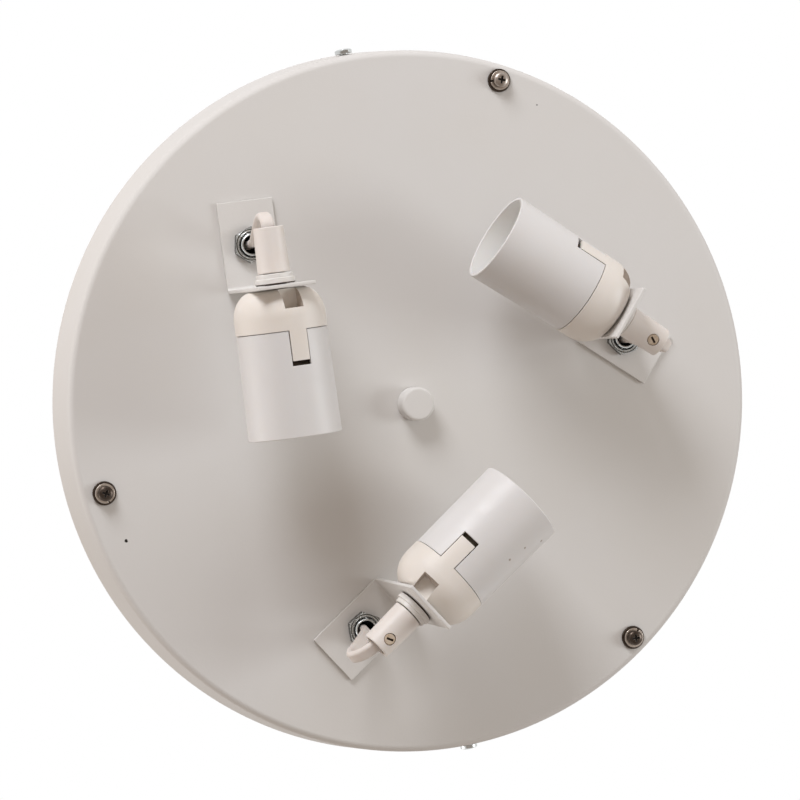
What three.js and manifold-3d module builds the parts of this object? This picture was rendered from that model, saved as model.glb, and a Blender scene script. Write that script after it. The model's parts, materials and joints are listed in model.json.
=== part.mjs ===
// LED ceiling light without its shade: a round steel pan that hangs from a ceiling bar and
// carries three E27 lampholders on swivelling angle brackets.
// Millimetres. +Z points up at the ceiling, the origin is the centre of the ceiling bar's top
// face, and +X runs from there towards the pivot of the first bracket.
import * as THREE from "three";
import { mergeVertices } from "three/addons/utils/BufferGeometryUtils.js";
import Module from "manifold-3d";

// General fits
const seatGap = 0.3;            // between two pieces that touch
const runningGap = 0.3;         // around a shank, tube or thread in its hole
const cutOverrun = 1;           // how far a cutter passes the face it leaves

// Pan: shallow spun tray, open towards the ceiling
const panFaceRadius = 155;
const panRimRadius = 157;
const panDepth = 28;
const panSheet = 1.2;
const panBendRadius = 3;
const patternOffset = 1.5;      // the punched hole pattern lies this far off the rim's centre, to -Y

// Ceiling bar: strap with two turned-down ends that take the side screws
const barWidth = 25;
const barSheet = 2;
const barTabDrop = 20;
const barWallGap = 1;           // between the flat tab and the round skirt
const barAngle = 36.3;          // degrees from +X
const barSlotLength = 30;
const barSlotWidth = 5;
const barSlotInset = 45;        // from the bar's middle to the near end of a slot
const barCableHoleRadius = 6;
const barCableHoleInset = 22;   // from the bar's middle to each of its two cable holes

// Side screws: M4, through the skirt into the bar's tabs
const sideScrewRadius = 1.95;
const sideScrewLength = 9;
const sideScrewHeadRadius = 3.8;
const sideScrewHeadHeight = 2.2;
const sideScrewDrop = 13;       // below the ceiling
const sideScrewSlotWidth = 1;
const sideScrewSlotDepth = 1;

// Shade screws: M4 with a spring washer and a flat washer, near the pan's edge
const shadeScrewCount = 3;
const shadeScrewInset = 8.6;    // from the pan's face radius in to the screws' circle
const shadeScrewCircleShares = [1.007, 1.004, 0.988];
const shadeScrewAngle = 62;     // degrees from +X to the first one
const shadeScrewSlipDegrees = [0, 1.3, -0.8];
const shadeScrewRadius = 1.95;
const shadeScrewLength = 9;
const shadeScrewHeadRadius = 3.3;
const shadeScrewHeadHeight = 2.4;
const shadeRecessLength = 3.8;
const shadeRecessWidth = 1;
const shadeRecessDepth = 1.3;
const flatWasherRadius = 5.3;
const flatWasherHeight = 0.9;
const springWasherRadius = 4.3;
const springWasherHeight = 1.1;
const springWasherSplit = 0.9;
const plungeRadius = 3.7;       // tapped collar drawn up in the pan for each shade screw
const plungeHeight = 2.6;

// Centre: cap over the screw that holds the terminal block
const capRadius = 7.4;
const capHeight = 8.6;
const capEdgeRadius = 1.3;
const capWall = 3.2;
const centreScrewRadius = 1.95;
const centreScrewHeadRadius = 3.6;
const centreScrewHeadHeight = 2.6;
const centreScrewTail = 1.5;    // thread that stands out of the nut
const centreNutFlats = 7;
const centreNutHeight = 3.2;

// Terminal block and earth tag
const poleCount = 3;
const polePitch = 10;
const blockDepth = 17;
const blockHeight = 14;
const blockFootHeight = 5;
const blockWebWidth = 3;
const poleWireRadius = 1.7;
const poleScrewRadius = 2;
const poleScrewWellDepth = 5;
const tagSheet = 0.8;
const tagRingRadius = 5;
const tagWidth = 6.3;
const tagReach = 19;
const tagRise = 9;

// Threaded tubes M10x1 and their nuts
const armCount = 3;
const armCircle = 101.5;        // pivot circle radius
const tubeRadius = 4.9;
const tubeBoreRadius = 4;
const tubeNose = 1.3;           // stands out of the front nut
const tubeTail = 2;             // stands out of the back nut
const tubeNutFlats = 14;
const tubeNutHeight = 3;
const frontNutTurnDegrees = [-13, 0, 37];

// Angle brackets
const bracketWidth = 25;
const bracketSheet = 1.5;
const footTail = 19.5;          // pivot to the foot's free end
const footReach = 20;           // pivot to the leg's outer face
const legHeight = 59.4;
const bracketBendRadius = 1.2;
const holderHeight = 39.2;      // pan face to the lampholder's axis
const armHeading = -140;        // degrees from the outward radius to the way the holder points
const swivelRestDegrees = [-0.7, 8, -6.5]; // degrees off that heading, as hung

// Lampholder cap, in lengths along the holder's axis from the leg's outer face
const neckRadius = 4.8;         // M10 thread of the cord grip
const holderCapTopRadius = 10.5;
const holderCapRadius = 19.6;
const holderCapShoulder = 12.5;
const holderSeam = 18;
const holderCapWall = 2.2;
const spigotRadius = 17.2;
const spigotWall = 1.8;
const spigotEnd = 25;
const ledgeWidth = 2;
const bossRadius = 7.4;
const bossEnd = 8;
const windowWidth = 8.3;
const windowEnd = 8.7;
const windowFloor = 11.6;       // from the axis to the floor of the window
const windowWall = 1.5;
const tongueWidth = 7.8;
const tongueEnd = 31;
const tongueRadius = 19.6;
const tongueThickness = 1.6;
const holderRollDegrees = [-7.3, 53.4, -25];  // tongue from straight down

// Lampholder sleeve
const sleeveEnd = 63.2;
const sleeveSeamRadius = 19.4;
const sleeveEndRadius = 20;
const sleeveWall = 1.5;
const slotWidth = 8.3;
const slotEnd = 33.1;

// Insert: contact base, thread shell for the E27 cap and sprung centre contact
const baseRadius = 15;
const baseStart = 10.5;
const baseHeight = 6.5;
const shellRadius = 13.9;
const shellWall = 0.5;
const shellPitch = 3.62;
const shellTurns = 5.5;
const shellWave = 0.6;
const shellHoleRadius = 10;
const contactWidth = 5;
const contactSheet = 0.5;
const contactRoot = 7.5;        // from the axis, to the side
const contactTip = 1.2;
const contactRise = 3.6;

// Cord grip, its clamping screw and its lock ring
const gripEnd = 25.3;           // from the leg's outer face, behind the leg
const gripFrontRadius = 7;
const gripEndRadius = 6.5;
const gripBoreRadius = 3.6;
const gripMouthRadius = 5;
const gripMouthDepth = 10;
const gripNeckLength = 7;       // thread inside the lampholder cap
const gripScrewInset = 5.6;
const gripScrewRadius = 2.4;
const gripScrewReach = 6.9;
const gripScrewSlotWidth = 0.9;
const gripScrewSlotDepth = 1.2;
const gripRollDegrees = [170, -17, 6];      // screw from straight down
const gripSlackShares = [0.2, 0, 0.25];     // grip screwed back, of the lock ring's height
const gripScrewTurnDegrees = [0, 29, 65];   // slot from the holder's axis
const lockRingRadius = 9;
const lockRingHeight = 4.6;

// Flex: flat two-core, from inside the pan through the tube into the cord grip
const flexWidth = 5.8;
const flexHeight = 3.4;
const flexLoopReach = 15.7;     // from the pivot back to the furthest loop's centre line
const flexLoopShares = [0.7, 0.61, 1];
const flexLean = 0.6;           // off the tube's axis at its nose, to the back
const flexNoseSwayShares = [-0.12, 0.12, 0];    // the same to the side, of the flex's width
const flexInHolder = 10;        // end inside the lampholder cap
const flexSwayShares = [0, 0.2, -0.4];     // sideways bulge of each loop, of the flex's width
const leadRise = 7;             // height of the lead's arch above the threaded tube
const leadFloor = 5.5;          // middle of the lead above the pan's inner face
const leadStop = 5;             // straight run into the terminal block
const leadPoles = [1, 2, 0];    // pole that each lead goes to

// Mesh fineness, in counts
const panSides = 72;
const holderSides = 28;
const fittingSides = 18;
const screwSides = 14;
const flexSides = 10;
const leadSides = 8;
const capArcSteps = 4;
const flexSteps = 28;
const leadSteps = 28;

const wasm = await Module();
wasm.setup();

const finishes = {
  whitePaint: { color: 0xd9d5d0, roughness: 0.45, metalness: 0 },
  zincSteel: { color: 0xb9bcbe, roughness: 0.35, metalness: 1 },
  darkNickel: { color: 0x4a423b, roughness: 0.3, metalness: 1 },
  creamPlastic: { color: 0xe9e0d4, roughness: 0.4, metalness: 0 },
  whitePlastic: { color: 0xe6e2de, roughness: 0.35, metalness: 0 },
  paleNylon: { color: 0xd9d6cf, roughness: 0.4, metalness: 0 },
  tanNylon: { color: 0xcbb89c, roughness: 0.45, metalness: 0 },
  whiteFlex: { color: 0xe2dcd5, roughness: 0.5, metalness: 0 },
  brass: { color: 0xb59a5c, roughness: 0.35, metalness: 1 },
  ceramic: { color: 0xdedbd2, roughness: 0.6, metalness: 0 },
};

// Turns a table of shares of a size into lengths.
function lengthsOf(shares, size) {
  return shares.map((value) => value * size);
}

function radians(degrees) {
  return THREE.MathUtils.degToRad(degrees);
}

// Gives the closed geometry as a solid, with shared corners merged and faces pointing out.
function solidOf(geometry) {
  const bare = geometry.clone();
  bare.deleteAttribute("normal");
  bare.deleteAttribute("uv");
  const merged = mergeVertices(bare, 1e-4);
  const corners = merged.attributes.position;
  const triangles = [];
  for (let i = 0; i < merged.index.count; i += 3) {
    const [a, b, c] = [merged.index.getX(i), merged.index.getX(i + 1), merged.index.getX(i + 2)];
    if (a !== b && b !== c && c !== a) triangles.push(a, b, c);
  }
  if (volumeOf(corners, triangles) < 0) triangles.reverse();
  return new wasm.Manifold(new wasm.Mesh({
    numProp: 3,
    vertProperties: new Float32Array(corners.array),
    triVerts: new Uint32Array(triangles),
  }));
}

function volumeOf(corners, triangles) {
  const [a, b, c] = [new THREE.Vector3(), new THREE.Vector3(), new THREE.Vector3()];
  let volume = 0;
  for (let i = 0; i < triangles.length; i += 3) {
    a.fromBufferAttribute(corners, triangles[i]);
    b.fromBufferAttribute(corners, triangles[i + 1]);
    c.fromBufferAttribute(corners, triangles[i + 2]);
    volume += a.dot(b.cross(c));
  }
  return volume;
}

function geometryOf(solid) {
  const mesh = solid.getMesh();
  const geometry = new THREE.BufferGeometry();
  geometry.setAttribute("position", new THREE.BufferAttribute(new Float32Array(mesh.vertProperties), 3));
  geometry.setIndex(new THREE.BufferAttribute(new Uint32Array(mesh.triVerts), 1));
  return geometry;
}

// Adds the joined geometries to the first one and takes the cutters away from it.
function shaped(base, joins, cutters) {
  let solid = solidOf(base);
  for (const piece of joins) solid = solid.add(solidOf(piece));
  for (const piece of cutters) solid = solid.subtract(solidOf(piece));
  return geometryOf(solid);
}

// A ring or disc turned about Z; the outline lists [radius, height] and closes on itself
// or starts and ends on the axis.
function turned(outline, sides) {
  const points = outline.map(([radius, height]) => new THREE.Vector2(radius, height));
  return new THREE.LatheGeometry(points, sides).rotateX(Math.PI / 2);
}

// The same about X, for what lies along a lampholder's axis.
function turnedAlongX(outline, sides) {
  return turned(outline, sides).rotateY(Math.PI / 2);
}

function loop(outline) {
  return [...outline, outline[0]];
}

// A rod along Z from one height to another.
function rod(radius, low, high, sides = screwSides) {
  return new THREE.CylinderGeometry(radius, radius, high - low, sides)
    .rotateX(Math.PI / 2)
    .translate(0, 0, (low + high) / 2);
}

function rodAlongX(radius, low, high, sides = screwSides) {
  return rod(radius, low, high, sides).rotateY(Math.PI / 2);
}

// A box between two corners.
function block(low, high) {
  const size = high.map((value, i) => value - low[i]);
  const middle = high.map((value, i) => (value + low[i]) / 2);
  return new THREE.BoxGeometry(...size).translate(...middle);
}

function tube(outer, inner, low, high, sides = fittingSides) {
  return turned(loop([[inner, low], [outer, low], [outer, high], [inner, high]]), sides);
}

function hexagon(flats, bore, low, high) {
  const corner = flats / Math.sqrt(3);
  const outline = new THREE.Shape();
  for (let i = 0; i < 6; i += 1) {
    const angle = i * Math.PI / 3;
    const [x, y] = [corner * Math.cos(angle), corner * Math.sin(angle)];
    if (i === 0) outline.moveTo(x, y);
    else outline.lineTo(x, y);
  }
  outline.closePath();
  outline.holes.push(new THREE.Path().absarc(0, 0, bore, 0, 2 * Math.PI, true));
  const options = { depth: high - low, bevelEnabled: false, curveSegments: fittingSides / 2 };
  return new THREE.ExtrudeGeometry(outline, options).translate(0, 0, low);
}

// Points on a quarter or smaller arc, as [radius, height].
function arc(centre, radius, from, to, steps) {
  const points = [];
  for (let i = 0; i <= steps; i += 1) {
    const angle = radians(from + (to - from) * i / steps);
    points.push([centre[0] + radius * Math.cos(angle), centre[1] + radius * Math.sin(angle)]);
  }
  return points;
}

// The flat flex along a smooth line through the points.
function cord(points, sides, steps) {
  const section = new THREE.Shape();
  for (let i = 0; i < sides; i += 1) {
    const angle = 2 * Math.PI * i / sides;
    const [x, y] = [flexWidth / 2 * Math.cos(angle), flexHeight / 2 * Math.sin(angle)];
    if (i === 0) section.moveTo(x, y);
    else section.lineTo(x, y);
  }
  section.closePath();
  const path = new THREE.CatmullRomCurve3(points, false, "centripetal");
  return new THREE.ExtrudeGeometry(section, { steps, bevelEnabled: false, extrudePath: path });
}

function addPiece(parent, name, geometry, finish) {
  const mesh = new THREE.Mesh(geometryOf(solidOf(geometry)), new THREE.MeshStandardMaterial(finish));
  mesh.name = name;
  parent.add(mesh);
  return mesh;
}

// Heights in the pan, measured from its outer face: down is negative, into the pan positive.
const panInside = panSheet;
const footTop = -seatGap;
const footBottom = footTop - bracketSheet;
const frontNutTop = footBottom - seatGap;
const frontNutBottom = frontNutTop - tubeNutHeight;
const tubeBottom = frontNutBottom - tubeNose;
const backNutBottom = panInside + seatGap;
const backNutTop = backNutBottom + tubeNutHeight;
const tubeTop = backNutTop + tubeTail;
const tagTop = panInside + seatGap + tagSheet;
const blockBottom = tagTop + seatGap;
const blockTop = blockBottom + blockHeight;
const centreNutBottom = blockTop + seatGap;
const centreNutTop = centreNutBottom + centreNutHeight;
const springWasherTop = -seatGap - flatWasherHeight - seatGap;
const shadeHeadTop = springWasherTop - springWasherHeight - seatGap;

const light = new THREE.Group();
const panGroup = new THREE.Group();
panGroup.position.z = -panDepth;
light.add(panGroup);
const pattern = new THREE.Group();
pattern.position.y = -patternOffset;
panGroup.add(pattern);

// The skirt's lean from upright, so that it runs from the rim smoothly into the bend.
function skirtFlare() {
  const [out, up] = [panRimRadius - panFaceRadius + panBendRadius, panDepth - panBendRadius];
  return Math.atan2(out, up) - Math.asin(panBendRadius / Math.hypot(out, up));
}

function skirtRadiusAt(drop) {
  return panRimRadius - drop * Math.tan(skirtFlare());
}

// Where the flat tab stands clear of the skirt from the ceiling to the tab's end.
function tabFaceRadius() {
  return Math.min(panRimRadius, skirtRadiusAt(barTabDrop)) - panSheet - barWallGap;
}

// Where the side screw's head clears the skirt's slope on both sides of its hole.
function sideScrewSeat() {
  const [above, below] = [sideScrewDrop - sideScrewHeadRadius, sideScrewDrop + sideScrewHeadRadius];
  return Math.max(skirtRadiusAt(above), skirtRadiusAt(below)) + seatGap;
}

function armAngle(index) {
  return radians(360 / armCount * index);
}

function panShell() {
  const flare = THREE.MathUtils.radToDeg(skirtFlare());
  const bendCentre = [panFaceRadius - panBendRadius, panBendRadius];
  const outline = [
    [0, 0],
    ...arc(bendCentre, panBendRadius, -90, -flare, 4),
    [panRimRadius, panDepth],
    [panRimRadius - panSheet, panDepth],
    ...arc(bendCentre, panBendRadius - panSheet, -flare, -90, 2),
    [0, panSheet],
  ];
  const joins = [];
  const centreHole = rod(centreScrewRadius + runningGap, -cutOverrun, panSheet + cutOverrun);
  const cutters = [centreHole.translate(0, -patternOffset, 0)];
  for (let i = 0; i < shadeScrewCount; i += 1) {
    const place = shadeScrewPlace(i);
    joins.push(rod(plungeRadius, panSheet / 2, panSheet + plungeHeight).translate(...place));
    const top = panSheet + plungeHeight + cutOverrun;
    cutters.push(rod(shadeScrewRadius + runningGap, -cutOverrun, top).translate(...place));
  }
  for (let i = 0; i < armCount; i += 1) {
    const hole = rod(tubeRadius + runningGap, -cutOverrun, panSheet + cutOverrun);
    cutters.push(hole.translate(armCircle, 0, 0).rotateZ(armAngle(i)).translate(0, -patternOffset, 0));
  }
  for (const side of [0, 1]) {
    const seat = sideScrewSeat();
    const hole = rodAlongX(sideScrewRadius + runningGap, seat - sideScrewLength, seat + cutOverrun);
    hole.translate(0, 0, panDepth - sideScrewDrop);
    cutters.push(hole.rotateZ(radians(barAngle) + side * Math.PI));
  }
  return shaped(turned(outline, panSides), joins, cutters);
}

function ceilingBar() {
  const tabFace = tabFaceRadius();
  const joins = [];
  const cutters = [];
  const low = -barSheet - cutOverrun;
  const near = barSlotInset + barSlotWidth / 2;
  const far = barSlotInset + barSlotLength - barSlotWidth / 2;
  for (const turn of [0, Math.PI]) {
    const tab = block([tabFace - barSheet, -barWidth / 2, -barTabDrop], [tabFace, barWidth / 2, 0]);
    joins.push(tab.rotateZ(turn));
    const holes = [
      rod(barCableHoleRadius, low, cutOverrun, fittingSides).translate(barCableHoleInset, 0, 0),
      block([near, -barSlotWidth / 2, low], [far, barSlotWidth / 2, cutOverrun]),
      rod(barSlotWidth / 2, low, cutOverrun).translate(near, 0, 0),
      rod(barSlotWidth / 2, low, cutOverrun).translate(far, 0, 0),
      rodAlongX(sideScrewRadius + runningGap, tabFace - barSheet - cutOverrun, tabFace + cutOverrun)
        .translate(0, 0, -sideScrewDrop),
    ];
    for (const hole of holes) cutters.push(hole.rotateZ(turn));
  }
  const strap = block([-tabFace, -barWidth / 2, -barSheet], [tabFace, barWidth / 2, 0]);
  return shaped(strap, joins, cutters).rotateZ(radians(barAngle));
}

// A screw along +Z with its head's seat at height 0 and the head below.
function panHeadScrew(headRadius, headHeight, shankRadius, shankLength) {
  const crown = headHeight / 3;
  return turned([
    [0, -headHeight],
    [headRadius - crown, -headHeight],
    [headRadius - crown / 3, -headHeight + crown / 3],
    [headRadius, -headHeight + crown],
    [headRadius, 0],
    [shankRadius, 0],
    [shankRadius, shankLength],
    [0, shankLength],
  ], screwSides);
}

function sideScrew(side) {
  const head = panHeadScrew(sideScrewHeadRadius, sideScrewHeadHeight, sideScrewRadius, sideScrewLength);
  const half = sideScrewHeadRadius + cutOverrun;
  const slot = block(
    [-half, -sideScrewSlotWidth / 2, -sideScrewHeadHeight - cutOverrun],
    [half, sideScrewSlotWidth / 2, -sideScrewHeadHeight + sideScrewSlotDepth],
  );
  return shaped(head, [], [slot])
    .rotateY(-Math.PI / 2)
    .translate(sideScrewSeat(), 0, -sideScrewDrop)
    .rotateZ(radians(barAngle) + side * Math.PI);
}

function shadeScrewPlace(index) {
  const angle = radians(shadeScrewAngle + 360 / shadeScrewCount * index + shadeScrewSlipDegrees[index]);
  const circle = (panFaceRadius - shadeScrewInset) * shadeScrewCircleShares[index];
  return [circle * Math.cos(angle), circle * Math.sin(angle), 0];
}

function shadeScrew() {
  const head = panHeadScrew(shadeScrewHeadRadius, shadeScrewHeadHeight, shadeScrewRadius, shadeScrewLength);
  const low = -shadeScrewHeadHeight - cutOverrun;
  const high = -shadeScrewHeadHeight + shadeRecessDepth;
  const [long, short] = [shadeRecessLength / 2, shadeRecessWidth / 2];
  const cross = [
    block([-long, -short, low], [long, short, high]),
    block([-short, -long, low], [short, long, high]),
  ];
  return shaped(head, [], cross).translate(0, 0, shadeHeadTop);
}

function springWasher() {
  const bore = shadeScrewRadius + runningGap;
  const ring = tube(springWasherRadius, bore, springWasherTop - springWasherHeight, springWasherTop);
  const high = springWasherTop + cutOverrun;
  const low = springWasherTop - springWasherHeight - cutOverrun;
  const half = springWasherSplit / 2;
  const split = block([0, -half, low], [springWasherRadius + cutOverrun, half, high]);
  return shaped(ring, [], [split]);
}

function centreCap() {
  const low = -seatGap - capHeight;
  const bore = capRadius - capWall;
  const roof = -seatGap - capHeight + capWall;
  return turned([
    [0, low],
    ...arc([capRadius - capEdgeRadius, low + capEdgeRadius], capEdgeRadius, -90, 0, 4),
    [capRadius, -seatGap],
    [bore, -seatGap],
    [bore, roof],
    [0, roof],
  ], holderSides);
}

function centreScrew() {
  const length = centreNutTop + centreScrewTail + seatGap;
  return panHeadScrew(centreScrewHeadRadius, centreScrewHeadHeight, centreScrewRadius, length)
    .translate(0, 0, -seatGap);
}

// Three-pole strip: the pole bodies stand on a low foot, and the centre screw passes between
// the first two poles.
function terminalBlock() {
  const [firstPole, lastPole] = [-polePitch / 2, polePitch * (poleCount - 1.5)];
  const poleHalf = (polePitch - blockWebWidth) / 2;
  const foot = block(
    [-blockDepth / 2, firstPole - poleHalf, blockBottom],
    [blockDepth / 2, lastPole + poleHalf, blockBottom + blockFootHeight],
  );
  const joins = [];
  const cutters = [];
  for (let i = 0; i < poleCount; i += 1) {
    const y = firstPole + polePitch * i;
    const wireHeight = blockBottom + blockHeight / 2;
    joins.push(block([-blockDepth / 2, y - poleHalf, blockBottom], [blockDepth / 2, y + poleHalf, blockTop]));
    const reach = blockDepth / 2 + cutOverrun;
    cutters.push(rodAlongX(poleWireRadius, -reach, reach, flexSides).translate(0, y, wireHeight));
    for (const end of [-1, 1]) {
      const well = rod(poleScrewRadius, blockTop - poleScrewWellDepth, blockTop + cutOverrun, flexSides);
      cutters.push(well.translate(end * blockDepth / 4, y, 0));
    }
  }
  for (let i = 0; i < poleCount - 1; i += 1) {
    const bore = centreScrewRadius + runningGap;
    const hole = rod(bore, blockBottom - cutOverrun, blockTop + cutOverrun, flexSides);
    cutters.push(hole.translate(0, firstPole + polePitch * (i + 1 / 2), 0));
  }
  return shaped(foot, joins, cutters);
}

function earthTag() {
  const low = panInside + seatGap;
  const ring = rod(tagRingRadius, low, tagTop);
  const joins = [
    block([0, -tagWidth / 2, low], [tagReach, tagWidth / 2, tagTop]),
    block([tagReach - tagSheet, -tagWidth / 2, low], [tagReach, tagWidth / 2, low + tagRise]),
  ];
  const hole = rod(centreScrewRadius + runningGap, low - cutOverrun, tagTop + cutOverrun);
  return shaped(ring, joins, [hole]).rotateZ(-Math.PI / 2);
}

function bracket() {
  const inner = bracketBendRadius;
  const outer = bracketBendRadius + bracketSheet;
  const bend = [footReach - outer, footTop - outer];
  const toe = footTop - legHeight;
  const outline = new THREE.Shape();
  outline.moveTo(-footTail, footTop);
  for (const [x, z] of arc(bend, outer, 90, 0, 5)) outline.lineTo(x, z);
  outline.lineTo(footReach, toe);
  outline.lineTo(footReach - bracketSheet, toe);
  for (const [x, z] of arc(bend, inner, 0, 90, 5)) outline.lineTo(x, z);
  outline.lineTo(-footTail, footBottom);
  outline.closePath();
  const plate = new THREE.ExtrudeGeometry(outline, { depth: bracketWidth, bevelEnabled: false })
    .rotateX(Math.PI / 2)
    .translate(0, bracketWidth / 2, 0);
  const low = footReach - bracketSheet - cutOverrun;
  const neckHole = rodAlongX(neckRadius + runningGap, low, footReach + cutOverrun)
    .translate(0, 0, -holderHeight);
  const tubeHole = rod(tubeRadius + runningGap, footBottom - cutOverrun, footTop + cutOverrun);
  return shaped(plate, [], [neckHole, tubeHole]);
}

function holderCap() {
  const start = seatGap;
  const bore = neckRadius + runningGap;
  const rise = holderCapShoulder - start;
  const run = holderCapRadius - holderCapTopRadius;
  const outside = [];
  const inside = [];
  const innerRun = spigotRadius - spigotWall - ledgeWidth - holderCapTopRadius + holderCapWall;
  const innerRise = baseStart - seatGap - start - holderCapWall;
  for (let i = 0; i <= capArcSteps; i += 1) {
    const angle = Math.PI / 2 * i / capArcSteps;
    outside.push([holderCapTopRadius + run * Math.sin(angle), start + rise * (1 - Math.cos(angle))]);
    inside.push([
      holderCapTopRadius - holderCapWall + innerRun * Math.sin(angle),
      start + holderCapWall + innerRise * (1 - Math.cos(angle)),
    ]);
  }
  const outline = loop([
    [bore, start],
    ...outside,
    [holderCapRadius, holderSeam],
    [spigotRadius, holderSeam],
    [spigotRadius, spigotEnd],
    [spigotRadius - spigotWall, spigotEnd],
    [spigotRadius - spigotWall, baseStart - seatGap],
    ...inside.reverse(),
    [bossRadius, start + holderCapWall],
    [bossRadius, bossEnd],
    [bore, bossEnd],
  ]);
  const strip = turnedAlongX(loop([
    [tongueRadius - tongueThickness, holderCapShoulder],
    [tongueRadius, holderCapShoulder],
    [tongueRadius, tongueEnd],
    [tongueRadius - tongueThickness, tongueEnd],
  ]), holderSides * 2);
  const keep = block(
    [holderCapShoulder - cutOverrun, -tongueWidth / 2, -tongueRadius - cutOverrun],
    [tongueEnd + cutOverrun, tongueWidth / 2, 0],
  );
  const tongue = geometryOf(solidOf(strip).intersect(solidOf(keep)));
  const dome = turnedAlongX([[0, start], ...outside, [0, holderCapShoulder]], holderSides);
  const liner = block(
    [start, -windowWidth / 2 - windowWall, -holderCapRadius],
    [windowEnd + windowWall, windowWidth / 2 + windowWall, -windowFloor + windowWall],
  );
  const pocket = geometryOf(solidOf(dome).intersect(solidOf(liner)));
  const window = block(
    [seatGap - cutOverrun, -windowWidth / 2, -holderCapRadius - cutOverrun],
    [windowEnd, windowWidth / 2, -windowFloor],
  );
  return shaped(turnedAlongX(outline, holderSides), [tongue, pocket], [window]);
}

function holderSleeve() {
  const start = holderSeam + seatGap;
  const lip = sleeveWall / 3;
  const wall = turnedAlongX(loop([
    [sleeveSeamRadius - sleeveWall, start],
    [sleeveSeamRadius, start],
    [sleeveEndRadius, sleeveEnd - lip],
    [sleeveEndRadius - lip, sleeveEnd],
    [sleeveEndRadius - sleeveWall + lip / 2, sleeveEnd],
    [sleeveEndRadius - sleeveWall, sleeveEnd - lip],
  ]), holderSides);
  const slot = block(
    [start - cutOverrun, -slotWidth / 2, -sleeveEndRadius - cutOverrun],
    [slotEnd, slotWidth / 2, 0],
  );
  return shaped(wall, [], [slot]);
}

function contactBase() {
  const top = baseStart + baseHeight;
  return turnedAlongX([
    [0, baseStart],
    [baseRadius, baseStart],
    [baseRadius, top],
    [0, top],
  ], holderSides);
}

// Rolled shell whose wall goes in and out at the pitch of the E27 thread.
function threadShell() {
  const start = baseStart + baseHeight + seatGap;
  const outside = [];
  for (let i = 1; i <= shellTurns * 2; i += 1) {
    const inward = i % 2 === 0 ? shellWave : 0;
    outside.push([shellRadius - inward, start + shellWall + shellPitch * i / 2]);
  }
  const inside = outside.map(([radius, x]) => [radius - shellWall, x]).reverse();
  return turnedAlongX(loop([
    [shellHoleRadius, start],
    [shellRadius, start],
    ...outside,
    ...inside,
    [shellRadius - shellWall, start + shellWall],
    [shellHoleRadius, start + shellWall],
  ]), fittingSides);
}

// Bent strip that slopes up from its root beside the axis to its tip on the axis.
function centreContact() {
  const foot = baseStart + baseHeight + 2 * seatGap;
  const outline = new THREE.Shape();
  outline.moveTo(foot, -contactRoot);
  outline.lineTo(foot + contactRise, contactTip / 2);
  outline.lineTo(foot + contactRise - contactSheet, 2 * contactTip);
  outline.lineTo(foot + contactRise - 2 * contactSheet, 2 * contactTip);
  outline.lineTo(foot + contactRise - contactSheet, contactTip / 2);
  outline.lineTo(foot, -contactRoot + 2 * contactSheet);
  outline.closePath();
  return new THREE.ExtrudeGeometry(outline, { depth: contactWidth, bevelEnabled: false })
    .translate(0, 0, -contactWidth / 2);
}

function gripFront() {
  return -bracketSheet - 2 * seatGap - lockRingHeight;
}

function cordGrip() {
  const front = gripFront();
  const body = turnedAlongX(loop([
    [gripMouthRadius, -gripEnd],
    [gripEndRadius, -gripEnd],
    [gripFrontRadius, front],
    [neckRadius, front],
    [neckRadius, gripNeckLength],
    [gripBoreRadius, gripNeckLength],
    [gripBoreRadius, -gripEnd + gripMouthDepth],
    [gripMouthRadius, -gripEnd + gripMouthDepth],
  ]), fittingSides);
  const hole = rod(gripScrewRadius + runningGap, -gripFrontRadius - cutOverrun, 0)
    .translate(gripScrewInset - gripEnd, 0, 0);
  return shaped(body, [], [hole]);
}

function gripScrew(index) {
  const shank = rod(gripScrewRadius, -gripScrewReach, -flexHeight / 2 - 2 * seatGap);
  const half = gripScrewRadius + cutOverrun;
  const slot = block(
    [-half, -gripScrewSlotWidth / 2, -gripScrewReach - cutOverrun],
    [half, gripScrewSlotWidth / 2, -gripScrewReach + gripScrewSlotDepth],
  );
  return shaped(shank, [], [slot])
    .rotateZ(radians(gripScrewTurnDegrees[index]))
    .translate(gripScrewInset - gripEnd, 0, 0);
}

function lockRing() {
  const high = -bracketSheet - seatGap;
  const edge = lockRingHeight / 6;
  return turnedAlongX(loop([
    [neckRadius + runningGap, high - lockRingHeight],
    [lockRingRadius - edge, high - lockRingHeight],
    [lockRingRadius, high - lockRingHeight + edge],
    [lockRingRadius, high - edge],
    [lockRingRadius - edge, high],
    [neckRadius + runningGap, high],
  ]), fittingSides);
}

// The flex comes up the tube, loops back past the grip's end and turns into the grip.
function flex(index) {
  const reachShares = [0.08, 0.5, 0.95, 1, 0.75];
  const heightShares = [0.1, 0.37, 0.67, 0.86, 0.975];
  const swayShares = [0, 0.35, 0.95, 1, 0.5];
  const noseShares = [1, 0.5, 0.1, 0, 0];
  const climb = holderHeight + tubeBottom;
  const reaches = lengthsOf(reachShares, -flexLoopReach * flexLoopShares[index]);
  const heights = lengthsOf(heightShares, -climb);
  const noseSway = flexWidth * flexNoseSwayShares[index];
  const noseSways = lengthsOf(noseShares, noseSway);
  const sways = lengthsOf(swayShares, flexWidth * flexSwayShares[index]);
  const points = [
    new THREE.Vector3(0, 0, tubeTop),
    new THREE.Vector3(0, 0, tubeTop / 2),
    new THREE.Vector3(0, 0, 0),
    new THREE.Vector3(-flexLean, noseSway, tubeBottom),
  ];
  reaches.forEach((reach, i) => {
    points.push(new THREE.Vector3(reach, sways[i] + noseSways[i], tubeBottom + heights[i]));
  });
  const behindLeg = footReach - gripEnd;
  points.push(new THREE.Vector3(behindLeg + gripMouthDepth / 4, 0, -holderHeight));
  points.push(new THREE.Vector3(footReach - bracketSheet, 0, -holderHeight));
  points.push(new THREE.Vector3(footReach + flexInHolder, 0, -holderHeight));
  return cord(points, flexSides, flexSteps);
}

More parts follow.
